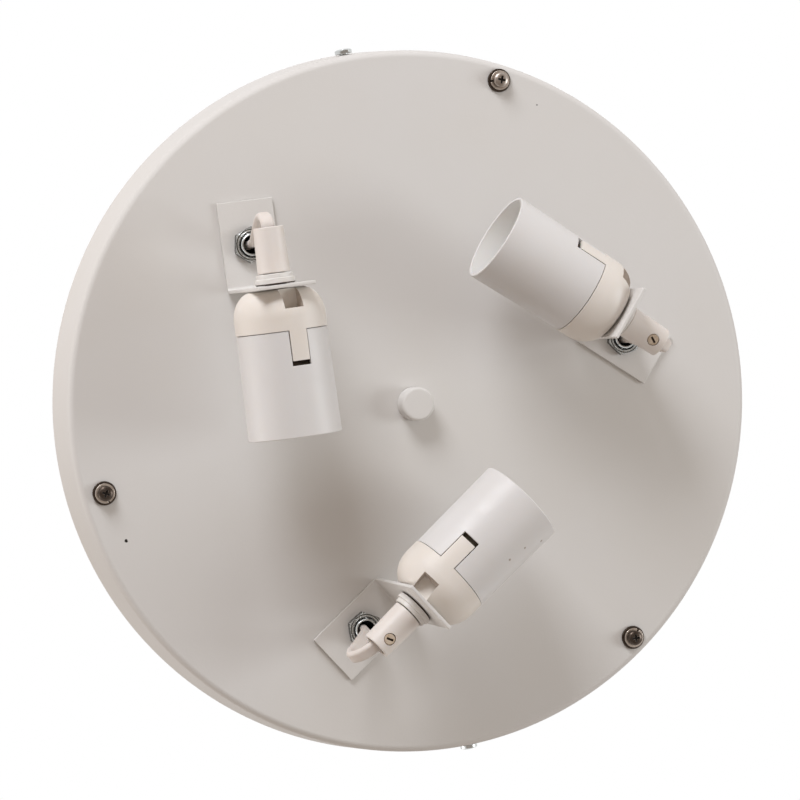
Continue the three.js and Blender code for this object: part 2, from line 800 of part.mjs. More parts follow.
// Inside the pan each lead arches over the tube's end and runs in to its pole. It is drawn in
// the frame of its own arm, where +X is the outward radius.
function lead(index) {
  const start = tubeTop + seatGap;
  const floor = panInside + leadFloor;
  const side = index === 0 ? 1 : -1;
  const poleY = polePitch * (leadPoles[index] - 1 / 2);
  const entry = (outward) => new THREE.Vector3(
    side * (blockDepth / 2 + seatGap + outward),
    poleY,
    blockBottom + blockHeight / 2,
  ).applyAxisAngle(new THREE.Vector3(0, 0, 1), -armAngle(index));
  const at = (radius, height) => new THREE.Vector3(radius, 0, height);
  const points = [
    at(armCircle, start),
    at(armCircle, start + leadRise / 2),
    at(armCircle - leadRise, start + leadRise),
    at(armCircle - 2 * leadRise, start),
    at(armCircle - 3 * leadRise, floor),
    at(armCircle / 2, floor),
    entry(2 * leadStop),
    entry(leadStop / 2),
    entry(0),
  ];
  return cord(points, leadSides, leadSteps).rotateZ(armAngle(index));
}

function addRoot() {
  addPiece(panGroup, "pan", panShell(), finishes.whitePaint);
  addPiece(light, "ceiling_bar", ceilingBar(), finishes.zincSteel);
  for (const side of [0, 1]) addPiece(light, `side_screw_${side + 1}`, sideScrew(side), finishes.zincSteel);
  for (let i = 0; i < shadeScrewCount; i += 1) {
    const spot = new THREE.Group();
    spot.position.set(...shadeScrewPlace(i));
    panGroup.add(spot);
    const bore = shadeScrewRadius + runningGap;
    const washer = tube(flatWasherRadius, bore, -seatGap - flatWasherHeight, -seatGap);
    addPiece(spot, `flat_washer_${i + 1}`, washer, finishes.darkNickel);
    addPiece(spot, `spring_washer_${i + 1}`, springWasher(), finishes.darkNickel);
    addPiece(spot, `shade_screw_${i + 1}`, shadeScrew(), finishes.darkNickel);
  }
  addPiece(pattern, "centre_cap", centreCap(), finishes.whitePaint);
  addPiece(pattern, "centre_screw", centreScrew(), finishes.zincSteel);
  const nut = hexagon(centreNutFlats, centreScrewRadius + runningGap, centreNutBottom, centreNutTop);
  addPiece(pattern, "centre_nut", nut, finishes.zincSteel);
  addPiece(pattern, "terminal_block", terminalBlock(), finishes.ceramic);
  addPiece(pattern, "earth_tag", earthTag(), finishes.brass);
  for (let i = 0; i < armCount; i += 1) {
    const pivot = new THREE.Group();
    pivot.rotation.z = armAngle(i);
    pivot.position.set(armCircle * Math.cos(armAngle(i)), armCircle * Math.sin(armAngle(i)), 0);
    pattern.add(pivot);
    const bore = tubeRadius + runningGap;
    const threaded = tube(tubeRadius, tubeBoreRadius, tubeBottom, tubeTop);
    const frontNut = hexagon(tubeNutFlats, bore, frontNutBottom, frontNutTop)
      .rotateZ(radians(frontNutTurnDegrees[i]));
    const backNut = hexagon(tubeNutFlats, bore, backNutBottom, backNutTop);
    addPiece(pivot, `threaded_tube_${i + 1}`, threaded, finishes.zincSteel);
    addPiece(pivot, `front_nut_${i + 1}`, frontNut, finishes.zincSteel);
    addPiece(pivot, `back_nut_${i + 1}`, backNut, finishes.zincSteel);
    addPiece(pattern, `lead_${i + 1}`, lead(i), finishes.whiteFlex);
  }
}

function addArm(index) {
  const number = index + 1;
  const arm = new THREE.Group();
  arm.position.set(armCircle * Math.cos(armAngle(index)), armCircle * Math.sin(armAngle(index)), 0);
  arm.rotation.z = armAngle(index) + radians(armHeading + swivelRestDegrees[index]);
  pattern.add(arm);
  addPiece(arm, `bracket_${number}`, bracket(), finishes.whitePaint);
  addPiece(arm, `flex_${number}`, flex(index), finishes.whiteFlex);

  const axis = new THREE.Group();
  axis.position.set(footReach, 0, -holderHeight);
  arm.add(axis);
  const rolled = new THREE.Group();
  rolled.rotation.x = radians(holderRollDegrees[index]);
  axis.add(rolled);
  addPiece(rolled, `holder_cap_${number}`, holderCap(), finishes.creamPlastic);
  addPiece(rolled, `holder_sleeve_${number}`, holderSleeve(), finishes.whitePlastic);
  addPiece(axis, `contact_base_${number}`, contactBase(), finishes.ceramic);
  addPiece(axis, `thread_shell_${number}`, threadShell(), finishes.zincSteel);
  addPiece(axis, `centre_contact_${number}`, centreContact(), finishes.brass);
  addPiece(axis, `lock_ring_${number}`, lockRing(), finishes.paleNylon);

  const grip = new THREE.Group();
  grip.rotation.x = radians(gripRollDegrees[index]);
  grip.position.x = -lockRingHeight * gripSlackShares[index];
  axis.add(grip);
  addPiece(grip, `cord_grip_${number}`, cordGrip(), finishes.whitePlastic);
  addPiece(grip, `grip_screw_${number}`, gripScrew(index), finishes.tanNylon);
}

addRoot();
for (let i = 0; i < armCount; i += 1) addArm(i);

export default light;
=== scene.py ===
"""Looks of a ceiling light: a white steel pan that carries three lampholders on angle brackets.

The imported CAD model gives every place. Pieces are drawn in millimetres, each in the local frame
of what carries it, and moved into the model's frame in metres.
"""

import json
import math
from types import SimpleNamespace
from typing import NamedTuple

import bmesh
import bpy
from bpy.props import FloatProperty, FloatVectorProperty, PointerProperty
from bpy.types import Operator, Panel, PropertyGroup
from mathutils import Matrix, Vector


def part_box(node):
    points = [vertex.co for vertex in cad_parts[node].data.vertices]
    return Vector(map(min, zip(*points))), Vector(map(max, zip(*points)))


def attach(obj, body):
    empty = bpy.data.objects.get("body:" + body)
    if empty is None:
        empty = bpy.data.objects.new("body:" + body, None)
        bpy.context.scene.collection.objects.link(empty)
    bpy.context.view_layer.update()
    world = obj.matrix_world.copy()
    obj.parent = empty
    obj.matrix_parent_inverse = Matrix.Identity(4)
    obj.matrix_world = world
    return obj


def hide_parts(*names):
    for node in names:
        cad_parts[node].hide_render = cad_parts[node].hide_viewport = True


bl_info = {
    "name": "Ceiling Light",
    "version": (1, 0, 0),
    "blender": (4, 5, 0),
    "location": "View3D > Sidebar > Ceiling Light",
    "description": "Dresses the packed model of a ceiling light with finer pieces and finishes",
    "category": "Object",
}

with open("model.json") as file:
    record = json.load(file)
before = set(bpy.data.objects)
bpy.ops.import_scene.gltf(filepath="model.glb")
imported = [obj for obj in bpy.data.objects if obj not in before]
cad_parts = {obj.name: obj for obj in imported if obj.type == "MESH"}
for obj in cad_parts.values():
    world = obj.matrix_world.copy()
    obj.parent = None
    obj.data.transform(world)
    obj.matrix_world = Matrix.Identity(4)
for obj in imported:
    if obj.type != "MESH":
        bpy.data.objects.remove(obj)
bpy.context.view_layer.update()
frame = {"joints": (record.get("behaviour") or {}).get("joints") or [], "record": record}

MM = 0.001
TURN = 2 * math.pi
ARMS = (1, 2, 3)
BODY_OF = {
    node: body
    for body, nodes in frame["record"]["behaviour"]["bodies"].items()
    for node in nodes
}
SLOT_OF = {row["node"]: row["material_slot"] for row in frame["record"]["subparts"]}

# Fineness, in counts
PAN_SIDES = 288
HOLDER_SIDES = 128
SMALL_SIDES = 72
BORE_SIDES = 32
THREAD_SIDES = 48
ROWS_PER_PITCH = 8
ARC_STEPS = 5
DOME_STEPS = 20
CORD_SIDES = 28
CORD_STEPS = 12  # between two points of a cord's route


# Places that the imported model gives


def box_of(node):
    """A CAD node's box in millimetres: its centre, half widths and lowest and highest height."""
    low, high = (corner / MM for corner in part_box(node))
    return SimpleNamespace(centre=(low + high) / 2, half=(high - low) / 2, low=low.z, high=high.z)


def joint_place(name):
    return Vector(next(j["pos_m"] for j in frame["joints"] if j["name"] == name)) / MM


def mount_axis(name):
    return Vector(next(m["axis"] for m in frame["record"]["mounts"] if m["name"] == name))


FACE = box_of("pan").low
PATTERN = box_of("centre_cap").centre
AXIS_DROP = FACE - box_of("contact_base_1").centre.z
METRES = Matrix.Scale(MM, 4)


def at(x, y, z):
    return Matrix.Translation((x, y, z))


def turned(degrees, axis):
    return Matrix.Rotation(math.radians(degrees), 4, axis)


def over(node, height=0.0):
    """The frame above or below the middle of a CAD node, at a height of the model."""
    middle = box_of(node).centre
    return METRES @ at(middle.x, middle.y, height)


def arm_frame(number):
    """Origin at the pivot on the pan's face, +X the way the lampholder points."""
    pivot = joint_place(f"swivel_{number}")
    heading = mount_axis(f"lamp_mouth_{number}")
    turn = math.degrees(math.atan2(heading.y, heading.x))
    return METRES @ at(pivot.x, pivot.y, FACE) @ turned(turn, "Z")


def holder_frame(number, roll=0.0, slack=0.0):
    """Origin where the lampholder's axis crosses the outer face of the bracket's leg."""
    reach = lengths("bracket").foot_reach
    return arm_frame(number) @ at(reach - slack, 0, -AXIS_DROP) @ turned(roll, "X")


# The sizes and colours that a user may change


def size(label, words, millimetres, low=0.0):
    return FloatProperty(
        name=label,
        description=words,
        default=millimetres * MM,
        min=low,
        subtype="DISTANCE",
        unit="LENGTH",
        precision=4,
    )


def colour(label, words, red, green, blue):
    return FloatVectorProperty(
        name=label,
        description=words,
        default=(red, green, blue),
        min=0.0,
        max=1.0,
        size=3,
        subtype="COLOR",
    )


def angle_value(label, words, degrees):
    return FloatProperty(
        name=label,
        description=words,
        default=math.radians(degrees),
        subtype="ANGLE",
    )


def plain_value(label, words, value):
    return FloatProperty(name=label, description=words, default=value)


def lengths(group):
    """The named group's sizes in millimetres."""
    values = getattr(bpy.context.scene.ceiling_light, group)
    return SimpleNamespace(**{
        rna.identifier: getattr(values, rna.identifier) / MM
        for rna in values.bl_rna.properties
        if rna.type == "FLOAT" and rna.unit == "LENGTH"
    })


class PanSizes(PropertyGroup):
    """The pan, the strap behind it and the cap in its middle"""

    face_radius: size("Face radius", "Radius of the flat face with its bend", 155)
    rim_radius: size("Rim radius", "Radius of the open rim", box_of("pan").half.x)
    depth: size("Depth", "From the face to the rim", -FACE)
    sheet: size("Sheet", "Thickness of the pan's steel", 1.2)
    bend_radius: size("Bend", "Outer radius of the bend round the face", 3)
    lip_radius: size("Lip", "Rounding of the rim's edges", 0.35)
    hole_gap: size("Hole gap", "Room round a screw or tube in its hole", 0.3)
    collar_radius: size("Collar radius", "Collar drawn up for each shade screw", 3.7)
    collar_height: size("Collar height", "Collar above the sheet", 2.6)
    strap_width: size("Strap width", "Width of the ceiling strap", 25)
    strap_sheet: size("Strap sheet", "Thickness of the ceiling strap", 2)
    strap_tab: size("Strap tab", "Length of its turned-down ends", 20)
    strap_tab_face: size("Strap tab face", "From the middle to the outside of a tab", 153.207)
    strap_bend: size("Strap bend", "Outer radius of the strap's bends", 1)
    slot_inset: size("Slot inset", "From the middle to a slot's near end", 45)
    slot_length: size("Slot length", "Length of the slots for the ceiling screws", 30)
    slot_width: size("Slot width", "Width of those slots", 5)
    cable_hole_radius: size("Cable hole", "Radius of the cable holes", 6)
    cable_hole_inset: size("Cable hole inset", "From the middle to a cable hole", 22)
    side_screw_drop: size("Side screw drop", "Below the ceiling", 13)
    cap_edge: size("Cap edge", "Rounding of the centre cap", 1.3)
    cap_wall: size("Cap wall", "Wall of the centre cap", 3.2)
    edge: size("Edge", "Rounding of painted and plated edges", 0.25)
    strap_degrees: angle_value("Strap angle", "Way the strap lies, from the light's X", 36.3)


class FastenerSizes(PropertyGroup):
    """Screws, washers, nuts and threaded tubes"""

    thread_radius: size("Screw thread", "Radius of the M4 threads", 1.95)
    thread_pitch: size("Screw pitch", "Pitch of the M4 threads", 0.7)
    thread_depth: size("Screw thread depth", "Depth of the M4 threads", 0.32)
    head_radius: size("Shade screw head", "Radius of the shade screws' heads", 3.3)
    head_height: size("Shade screw head height", "Height of those heads", 2.4)
    recess_length: size("Cross length", "Across the cross recess", 3.8)
    recess_width: size("Cross width", "Width of the cross recess", 0.95)
    recess_depth: size("Cross depth", "Depth of the cross recess", 1.3)
    side_head_radius: size("Side screw head", "Radius of the side screws' heads", 3.8)
    side_head_height: size("Side screw head height", "Height of those heads", 2.2)
    side_length: size("Side screw length", "Length under the head", 9)
    slot_width: size("Slot width", "Slot of the side screws", 1)
    slot_depth: size("Slot depth", "Depth of that slot", 1)
    spring_radius: size("Spring washer", "Outer radius of the spring washers", 4.3)
    spring_bore: size("Spring washer bore", "Radius inside the spring washers", 2.25)
    spring_gap: size("Spring washer split", "Width of the split", 0.9)
    spring_lift: size("Spring washer lift", "One end above the other", 0.5)
    centre_head_radius: size("Centre screw head", "Radius of the centre screw's head", 3.6)
    centre_head_height: size("Centre screw head height", "Height of that head", 2.6)
    centre_nut_flats: size("Centre nut", "Across the flats", 7)
    tube_radius: size("Tube", "Outer radius of the threaded tubes", 4.9)
    tube_bore: size("Tube bore", "Radius inside the threaded tubes", 4)
    tube_pitch: size("Tube pitch", "Pitch of the tubes' threads", 1)
    tube_depth: size("Tube thread depth", "Depth of the tubes' threads", 0.5)
    nut_flats: size("Tube nut", "Across the flats", 14)
    nut_bore: size("Tube nut bore", "Radius inside the tube nuts", 5.2)
    nut_chamfer: size("Nut chamfer", "Height of the chamfer at the corners", 0.6)
    nut_groove: size("Nut groove", "Width of the groove turned in the nuts' faces", 0.66)
    groove_depth: size("Groove depth", "Depth of that groove", 0.12)
    edge: size("Edge", "Rounding of the small edges", 0.12)


class BracketSizes(PropertyGroup):
    """Angle brackets"""

    width: size("Width", "Width of the strip", 25)
    sheet: size("Sheet", "Thickness of the strip", 1.5)
    foot_tail: size("Foot tail", "From the pivot to the foot's free end", 19.5)
    foot_reach: size("Foot reach", "From the pivot to the leg's outer face", 20)
    leg_height: size("Leg height", "From the foot's upper face to the toe", 59.4)
    bend_radius: size("Bend", "Inner radius of the bend", 1.2)
    foot_gap: size("Foot gap", "Between the foot and the pan", 0.3)
    neck_hole: size("Neck hole", "Radius of the hole for the cord grip's neck", 5.1)
    tube_hole: size("Tube hole", "Radius of the hole for the threaded tube", 5.2)
    edge: size("Edge", "Rounding of the painted edges", 0.3)


class HolderSizes(PropertyGroup):
    """Lampholders, in lengths along their axis from the leg's outer face"""

    start: size("Start", "Where the cap begins", 0.3)
    neck_bore: size("Neck bore", "Radius of the threaded bore", 5.1)
    cap_top_radius: size("Cap top", "Radius of the flat at the leg", 10.5)
    cap_radius: size("Cap radius", "Radius at the shoulder", 19.6)
    cap_shoulder: size("Shoulder", "Where the dome ends", 12.5)
    seam: size("Seam", "Where the cap's skin ends", 18)
    cap_wall: size("Cap wall", "Wall of the dome", 2.2)
    spigot_radius: size("Spigot", "Outer radius of the spigot in the sleeve", 17.2)
    spigot_wall: size("Spigot wall", "Wall of the spigot", 1.8)
    spigot_end: size("Spigot end", "Where the spigot ends", 25)
    boss_radius: size("Boss", "Outer radius of the inner boss", 7.4)
    boss_end: size("Boss end", "Where the boss ends", 8)
    window_width: size("Window width", "Width of the blind notch", 8.3)
    window_end: size("Window end", "Where the notch ends", 8.7)
    window_floor: size("Window floor", "From the axis to its floor", 11.6)
    window_wall: size("Window wall", "Wall behind the notch", 1.5)
    tongue_width: size("Tongue width", "Width of the locking tongue", 7.8)
    tongue_end: size("Tongue end", "Where the tongue ends", 31)
    tongue_thickness: size("Tongue", "Thickness of the tongue", 1.6)
    sleeve_gap: size("Sleeve gap", "Seam between the cap and the sleeve", 0.3)
    sleeve_seam_radius: size("Sleeve at the seam", "Radius of the sleeve there", 19.4)
    sleeve_radius: size("Sleeve at the mouth", "Radius of the sleeve there", 20)
    sleeve_end: size("Sleeve end", "Where the sleeve ends", 63.2)
    sleeve_wall: size("Sleeve wall", "Wall of the sleeve", 1.5)
    slot_width: size("Slot width", "Width of the tongue's slot", 8.3)
    slot_end: size("Slot end", "Where the tongue's slot ends", 33.1)
    base_radius: size("Base", "Radius of the contact base", 15)
    base_start: size("Base start", "Where the contact base begins", 10.5)
    base_end: size("Base end", "Where the contact base ends", 17)
    shell_radius: size("Shell", "Outer radius of the rolled shell", 13.9)
    shell_wall: size("Shell wall", "Wall of the rolled shell", 0.45)
    shell_wave: size("Shell wave", "Depth of the rolled thread", 0.6)
    shell_pitch: size("Shell pitch", "Pitch of the rolled thread", 3.62)
    shell_start: size("Shell start", "Where the shell begins", 17.3)
    shell_end: size("Shell end", "Where the shell ends", 37.7)
    shell_hole: size("Shell hole", "Radius of the hole in its floor", 10)
    edge: size("Edge", "Rounding of the moulded edges", 0.14)


class GripSizes(PropertyGroup):
    """Cord grips, their screws and lock rings, in lengths from the leg's outer face"""

    end: size("End", "How far the grip reaches behind the leg", 25.3)
    front: size("Front", "Where the grip's body begins", 6.7)
    front_radius: size("Front radius", "Radius of the body there", 7)
    end_radius: size("End radius", "Radius of the body at its end", 6.5)
    bore: size("Bore", "Radius of the bore", 3.6)
    mouth: size("Mouth", "Radius of the wider mouth", 5)
    mouth_depth: size("Mouth depth", "Depth of the wider mouth", 10)
    neck_radius: size("Neck", "Radius of the threaded neck", 4.8)
    neck_end: size("Neck end", "Thread inside the lampholder", 7)
    neck_pitch: size("Neck pitch", "Pitch of the neck's thread", 1)
    screw_inset: size("Screw inset", "From the end to the clamping screw", 5.6)
    screw_radius: size("Screw", "Radius of the clamping screw", 2.4)
    screw_reach: size("Screw reach", "From the axis to the screw's face", 6.45)
    screw_root: size("Screw root", "From the axis to the screw's foot", 2.3)
    screw_slot_width: size("Screw slot", "Width of the screw's slot", 0.95)
    screw_slot_length: size("Screw slot length", "Length of the screw's slot", 3.1)
    screw_slot_depth: size("Screw slot depth", "Depth of the screw's slot", 1.3)
    ring_radius: size("Lock ring", "Radius of the lock ring", 8.7)
    ring_collar: size("Lock ring collar", "Radius of its step at the grip", 7.9)
    ring_height: size("Lock ring height", "Height of the lock ring", 4.6)
    ring_bore: size("Lock ring bore", "Radius inside the lock ring", 5.1)
    ring_gap: size("Lock ring gap", "Between the lock ring and the leg", 0.3)
    edge: size("Edge", "Rounding of the moulded edges", 0.45)


class WiringSizes(PropertyGroup):
    """Flat flexes, terminal block and earth tag"""

    flex_width: size("Flex width", "Width of the flat flex", 5.8)
    flex_height: size("Flex height", "Thickness of the flat flex", 3.4)
    loop_reach: size("Loop reach", "From the pivot back to the furthest loop", 15.7)
    flex_lean: size("Flex lean", "Off the tube's axis at its nose", 0.6)
    flex_groove: size("Flex groove", "Depth of the groove between its two cores", 0.16)
    flex_in_holder: size("Flex in holder", "End inside the lampholder's cap", 10)
    lead_rise: size("Lead rise", "Arch above the threaded tube", 7)
    lead_floor: size("Lead floor", "Middle of a lead above the pan's sheet", 5.5)
    lead_stop: size("Lead stop", "Straight run into the terminal block", 5)
    pole_pitch: size("Pole pitch", "Between the terminal block's poles", 10)
    pole_width: size("Pole width", "Width of one pole", 7)
    block_depth: size("Block depth", "Length of the terminal block's poles", 17)
    block_height: size("Block height", "Height of the terminal block", 14)
    block_foot: size("Block foot", "Height of the foot between the poles", 5)
    wire_bore: size("Wire bore", "Radius of the poles' bores", 1.7)
    screw_bore: size("Screw well", "Radius of the poles' screw wells", 2)
    screw_well: size("Screw well depth", "Depth of the poles' screw wells", 5)
    tag_sheet: size("Tag sheet", "Thickness of the earth tag", 0.8)
    tag_ring: size("Tag ring", "Radius of the earth tag's eye", 5)
    tag_width: size("Tag width", "Width of the earth tag", 6.3)
    tag_reach: size("Tag reach", "From the eye to the upright blade", 19)
    tag_rise: size("Tag rise", "Height of the upright blade", 9)


class FinishColours(PropertyGroup):
    """Base colours, linear"""

    paint: colour("Paint", "Satin white paint of the pan and its cap", 0.698, 0.683, 0.667)
    bracket: colour("Brackets", "White paint of the brackets", 0.72, 0.705, 0.688)
    cap_cream: colour("Cap", "Cream plastic of the caps", 0.762, 0.715, 0.665)
    sleeve_white: colour("Sleeve", "White plastic of the sleeves", 0.705, 0.69, 0.683)
    grip_white: colour("Grip", "White plastic of the cord grips", 0.755, 0.708, 0.672)
    nylon: colour("Nylon", "Nylon of the lock rings", 0.715, 0.69, 0.665)
    screw_tan: colour("Tan nylon", "Nylon of the clamping screws", 0.60, 0.50, 0.395)
    flex_white: colour("Flex", "Soft sheath of the flexes", 0.725, 0.672, 0.635)
    zinc: colour("Zinc", "Bright zinc plate", 0.62, 0.63, 0.62)
    # Painted shade: a darker copy of the zinc for the nuts' flat faces
    zinc_flats: colour("Zinc flats", "Zinc plate on the nuts' flats", 0.13, 0.14, 0.135)
    dark_nickel: colour("Dark nickel", "Dark nickel plate", 0.088, 0.069, 0.057)
    pale_nickel: colour("Pale nickel", "Paler plate of the first shade screw", 0.40, 0.345, 0.305)
    spring_nickel: colour("Spring nickel", "Nickel plate of the spring washers", 0.60, 0.53, 0.47)
    brass: colour("Brass", "Brass", 0.62, 0.45, 0.19)
    ceramic: colour("Ceramic", "Unglazed ceramic", 0.72, 0.69, 0.62)
    terminal: colour("Terminal nylon", "Nylon of the terminal block", 0.74, 0.72, 0.66)
    shell: colour("Shell", "Rolled sheet of the lamp shells", 0.70, 0.66, 0.58)


class Studio(PropertyGroup):
    """Camera, lamps and room"""

    aim_x: size("Aim X", "Where the camera's middle meets the face", 5.6)
    aim_y: size("Aim Y", "The same, along Y", -4.4, low=-1.0)
    distance: size("Distance", "Camera to that point", 1463.1)
    floor_drop: size("Floor", "Floor below the ceiling", 2500)
    azimuth: angle_value("Azimuth", "Way to the camera, from +X", -41.0979)
    elevation: angle_value("Elevation", "Camera below the face", 74.4644)
    roll: angle_value("Roll", "Camera's turn about its own axis", -88.0979)
    lens: plain_value("Lens", "Focal length on a 36 mm sensor", 149.355)
    key_power: plain_value("Key power", "Soft lamp from above", 19.7)
    fill_power: plain_value("Fill power", "Soft lamp from the right", 8.2)
    edge_power: plain_value("Edge power", "Lamp behind the pan's left", 4.2)
    ambient: plain_value("Ambient", "Light of the white room", 0.413)


GROUPS = {
    "pan": PanSizes,
    "fastener": FastenerSizes,
    "bracket": BracketSizes,
    "holder": HolderSizes,
    "grip": GripSizes,
    "wiring": WiringSizes,
    "colours": FinishColours,
    "studio": Studio,
}


class CeilingLight(PropertyGroup):
    """Everything that the pieces are made from"""

    pan: PointerProperty(type=PanSizes)
    fastener: PointerProperty(type=FastenerSizes)
    bracket: PointerProperty(type=BracketSizes)
    holder: PointerProperty(type=HolderSizes)
    grip: PointerProperty(type=GripSizes)
    wiring: PointerProperty(type=WiringSizes)
    colours: PointerProperty(type=FinishColours)
    studio: PointerProperty(type=Studio)


# Outlines


def rounded(outline, closed=True, steps=ARC_STEPS):
    """The outline with an arc at each corner that carries a radius as its third number."""
    points = []
    last = len(outline) - 1
    for i, corner in enumerate(outline):
        here = Vector(corner[:2])
        radius = corner[2] if len(corner) > 2 else 0
        if not radius or (not closed and i in (0, last)):
            points.append(tuple(here))
            continue
        before = Vector(outline[i - 1][:2]) - here
        after = Vector(outline[(i + 1) % len(outline)][:2]) - here
        half = before.angle(after) / 2
        reach = min(radius / math.tan(half), before.length * 0.49, after.length * 0.49)
        radius = reach * math.tan(half)
        inward = (before.normalized() + after.normalized()).normalized()
        middle = here + inward * radius / math.sin(half)
        first = here + before.normalized() * reach - middle
        final = here + after.normalized() * reach - middle
        start = math.atan2(first.y, first.x)
        sweep = (math.atan2(final.y, final.x) - start + math.pi) % TURN - math.pi
        for k in range(steps + 1):
            angle = start + sweep * k / steps
            x, y = radius * math.cos(angle), radius * math.sin(angle)
            points.append((middle.x + x, middle.y + y))
    return points


def arc(centre, radius, start, end, steps):
    """Points of an arc from one angle to another, in degrees."""
    angles = (math.radians(start + (end - start) * k / steps) for k in range(steps + 1))
    return [(centre[0] + radius * math.cos(a), centre[1] + radius * math.sin(a)) for a in angles]


def rows(radius, low, high, pitch):
    """Outline points that stand close enough together to carry a thread."""
    count = math.ceil((high - low) / pitch * ROWS_PER_PITCH)
    return [(radius, low + (high - low) * k / count) for k in range(count + 1)]


def smooth_route(points):
    """A centripetal curve through the points, as close points."""
    ends = [2 * points[0] - points[1], *points, 2 * points[-1] - points[-2]]
    route = [points[0]]
    for a, b, c, d in zip(ends, ends[1:], ends[2:], ends[3:]):
        before, here, after = ((q - p).length ** 0.5 for p, q in ((a, b), (b, c), (c, d)))
        leave = ((b - a) / before - (c - a) / (before + here) + (c - b) / here) * here
        enter = ((c - b) / here - (d - b) / (here + after) + (d - c) / after) * here
        for k in range(1, CORD_STEPS + 1):
            t = k / CORD_STEPS
            square = 3 * (c - b) - 2 * leave - enter
            cube = 2 * (b - c) + leave + enter
            route.append(b + leave * t + square * t * t + cube * t * t * t)
    return route


# Meshes


def piece_from(bm, name):
    bmesh.ops.recalc_face_normals(bm, faces=bm.faces)
    mesh = bpy.data.meshes.new(name)
    bm.to_mesh(mesh)
    bm.free()
    piece = bpy.data.objects.new(name, mesh)
    bpy.context.scene.collection.objects.link(piece)
    return piece


def skinned(bm, name, rings, capped=True):
    """A piece with faces from each ring of corners to the next. A capped one has a flat face at
    each end, and another one runs round to its first ring."""
    if capped:
        bm.faces.new(rings[0])
        bm.faces.new(rings[-1])
    else:
        rings = [*rings, rings[0]]
    for lower, upper in zip(rings, rings[1:]):
        for k in range(len(lower)):
            after = (k + 1) % len(lower)
            bm.faces.new((lower[k], lower[after], upper[after], upper[k]))
    return piece_from(bm, name)


def thread_cut(height, turn, thread):
    """How far the thread's wall lies under its crest."""
    phase = (height / thread.pitch - turn) % 1
    wave = 0.5 - 0.5 * math.cos(TURN * phase) if thread.rolled else abs(2 * phase - 1)
    run_out = min(1, (height - thread.low) / thread.pitch, (thread.high - height) / thread.pitch)
    return thread.depth * wave * max(0, run_out)


def thread_of(low, high, pitch, depth, rolled=False):
    return SimpleNamespace(low=low, high=high, pitch=pitch, depth=depth, rolled=rolled)


def spun(name, outline, sides, capped=False, thread=None, threaded_radii=()):
    """A solid spun about Z from an outline of (radius, height)."""
    bm = bmesh.new()
    rings = []
    for radius, height in outline:
        ring = []
        cut = any(abs(radius - r) < 1e-6 for r in threaded_radii)
        for k in range(sides):
            turn = k / sides
            wide = radius - (thread_cut(height, turn, thread) if cut else 0)
            x, y = wide * math.cos(TURN * turn), wide * math.sin(TURN * turn)
            ring.append(bm.verts.new((x, y, height)))
        rings.append(ring)
    return skinned(bm, name, rings, capped)


def along_x(piece):
    """Lays a piece that was spun about Z along X, its bottom to -X."""
    piece.data.transform(turned(90, "Y"))
    return piece


def prism(name, outline, low, high):
    bm = bmesh.new()
    rings = [[bm.verts.new((x, y, height)) for x, y in outline] for height in (low, high)]
    return skinned(bm, name, rings)


def cutter_block(low, high):
    corners = [(low[0], low[1]), (high[0], low[1]), (high[0], high[1]), (low[0], high[1])]
    return prism("cutter", corners, low[2], high[2])


def cutter_rod(radius, low, high, sides=SMALL_SIDES):
    return spun("cutter", [(radius, low), (radius, high)], sides, capped=True)


def moved(piece, place):
    piece.data.transform(place)
    return piece


def settled(piece):
    """Applies a piece's modifiers."""
    shape = piece.evaluated_get(bpy.context.evaluated_depsgraph_get())
    mesh = bpy.data.meshes.new_from_object(shape)
    bare = piece.data
    piece.modifiers.clear()
    piece.data = mesh
    bpy.data.meshes.remove(bare)
    return piece


def combined(piece, others, operation="DIFFERENCE"):
    """Cuts the others out of the piece, or joins them to it, and drops them."""
    for other in others:
        step = piece.modifiers.new(operation, "BOOLEAN")
        step.operation = operation
        step.solver = "EXACT"
        step.object = other
    settled(piece)
    if not piece.data.polygons:
        raise RuntimeError(f"nothing is left of {piece.name}")
    for other in others:
        bpy.data.meshes.remove(other.data)
    return piece


def softened(piece, width=0.0, segments=2, angle=38):
    """Rounds the sharp edges and shades the faces smooth, flat ones kept flat."""
    piece.data.shade_smooth()
    if width:
        edge = piece.modifiers.new("edges", "BEVEL")
        edge.width = width
        edge.segments = segments
        edge.limit_method = "ANGLE"
        edge.angle_limit = math.radians(angle)
        edge.use_clamp_overlap = True
    shade = piece.modifiers.new("shading", "WEIGHTED_NORMAL")
    shade.keep_sharp = True
    return settled(piece)


def flat_cord(name, route, width, height):
    """A flat two-core flex along the route, its broad side square to the route's bends."""
    bm = bmesh.new()
    ways = [(b - a).normalized() for a, b in zip(route, route[1:])]
    between = [(a + b).normalized() for a, b in zip(ways, ways[1:])]
    tangents = [ways[0], *between, ways[-1]]
    across = Vector((0, 1, 0))
    rings = []
    straight = (width - height) / 2
    depth = lengths("wiring").flex_groove
    for place, way in zip(route, tangents):
        across = (across - across.dot(way) * way).normalized()
        beside = way.cross(across)
        ring = []
        for k in range(CORD_SIDES):
            turn = TURN * (k + 0.5) / CORD_SIDES
            x = math.copysign(straight, math.cos(turn)) + height / 2 * math.cos(turn)
            groove = depth * math.exp(-(x / (height / 4)) ** 2)
            y = (height / 2 - groove) * math.sin(turn)
            ring.append(bm.verts.new(place + across * x + beside * y))
        rings.append(ring)
    return softened(skinned(bm, name, rings))


def fitted(piece, name, place, node, looks):
    """Moves a piece to its place on the light, with its materials, to ride with a CAD node."""
    piece.name = name
    piece.data.name = name
    piece.data.transform(place)
    piece.data.materials.clear()
    for look in looks:
        piece.data.materials.append(look)
    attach(piece, BODY_OF[node])
    return piece


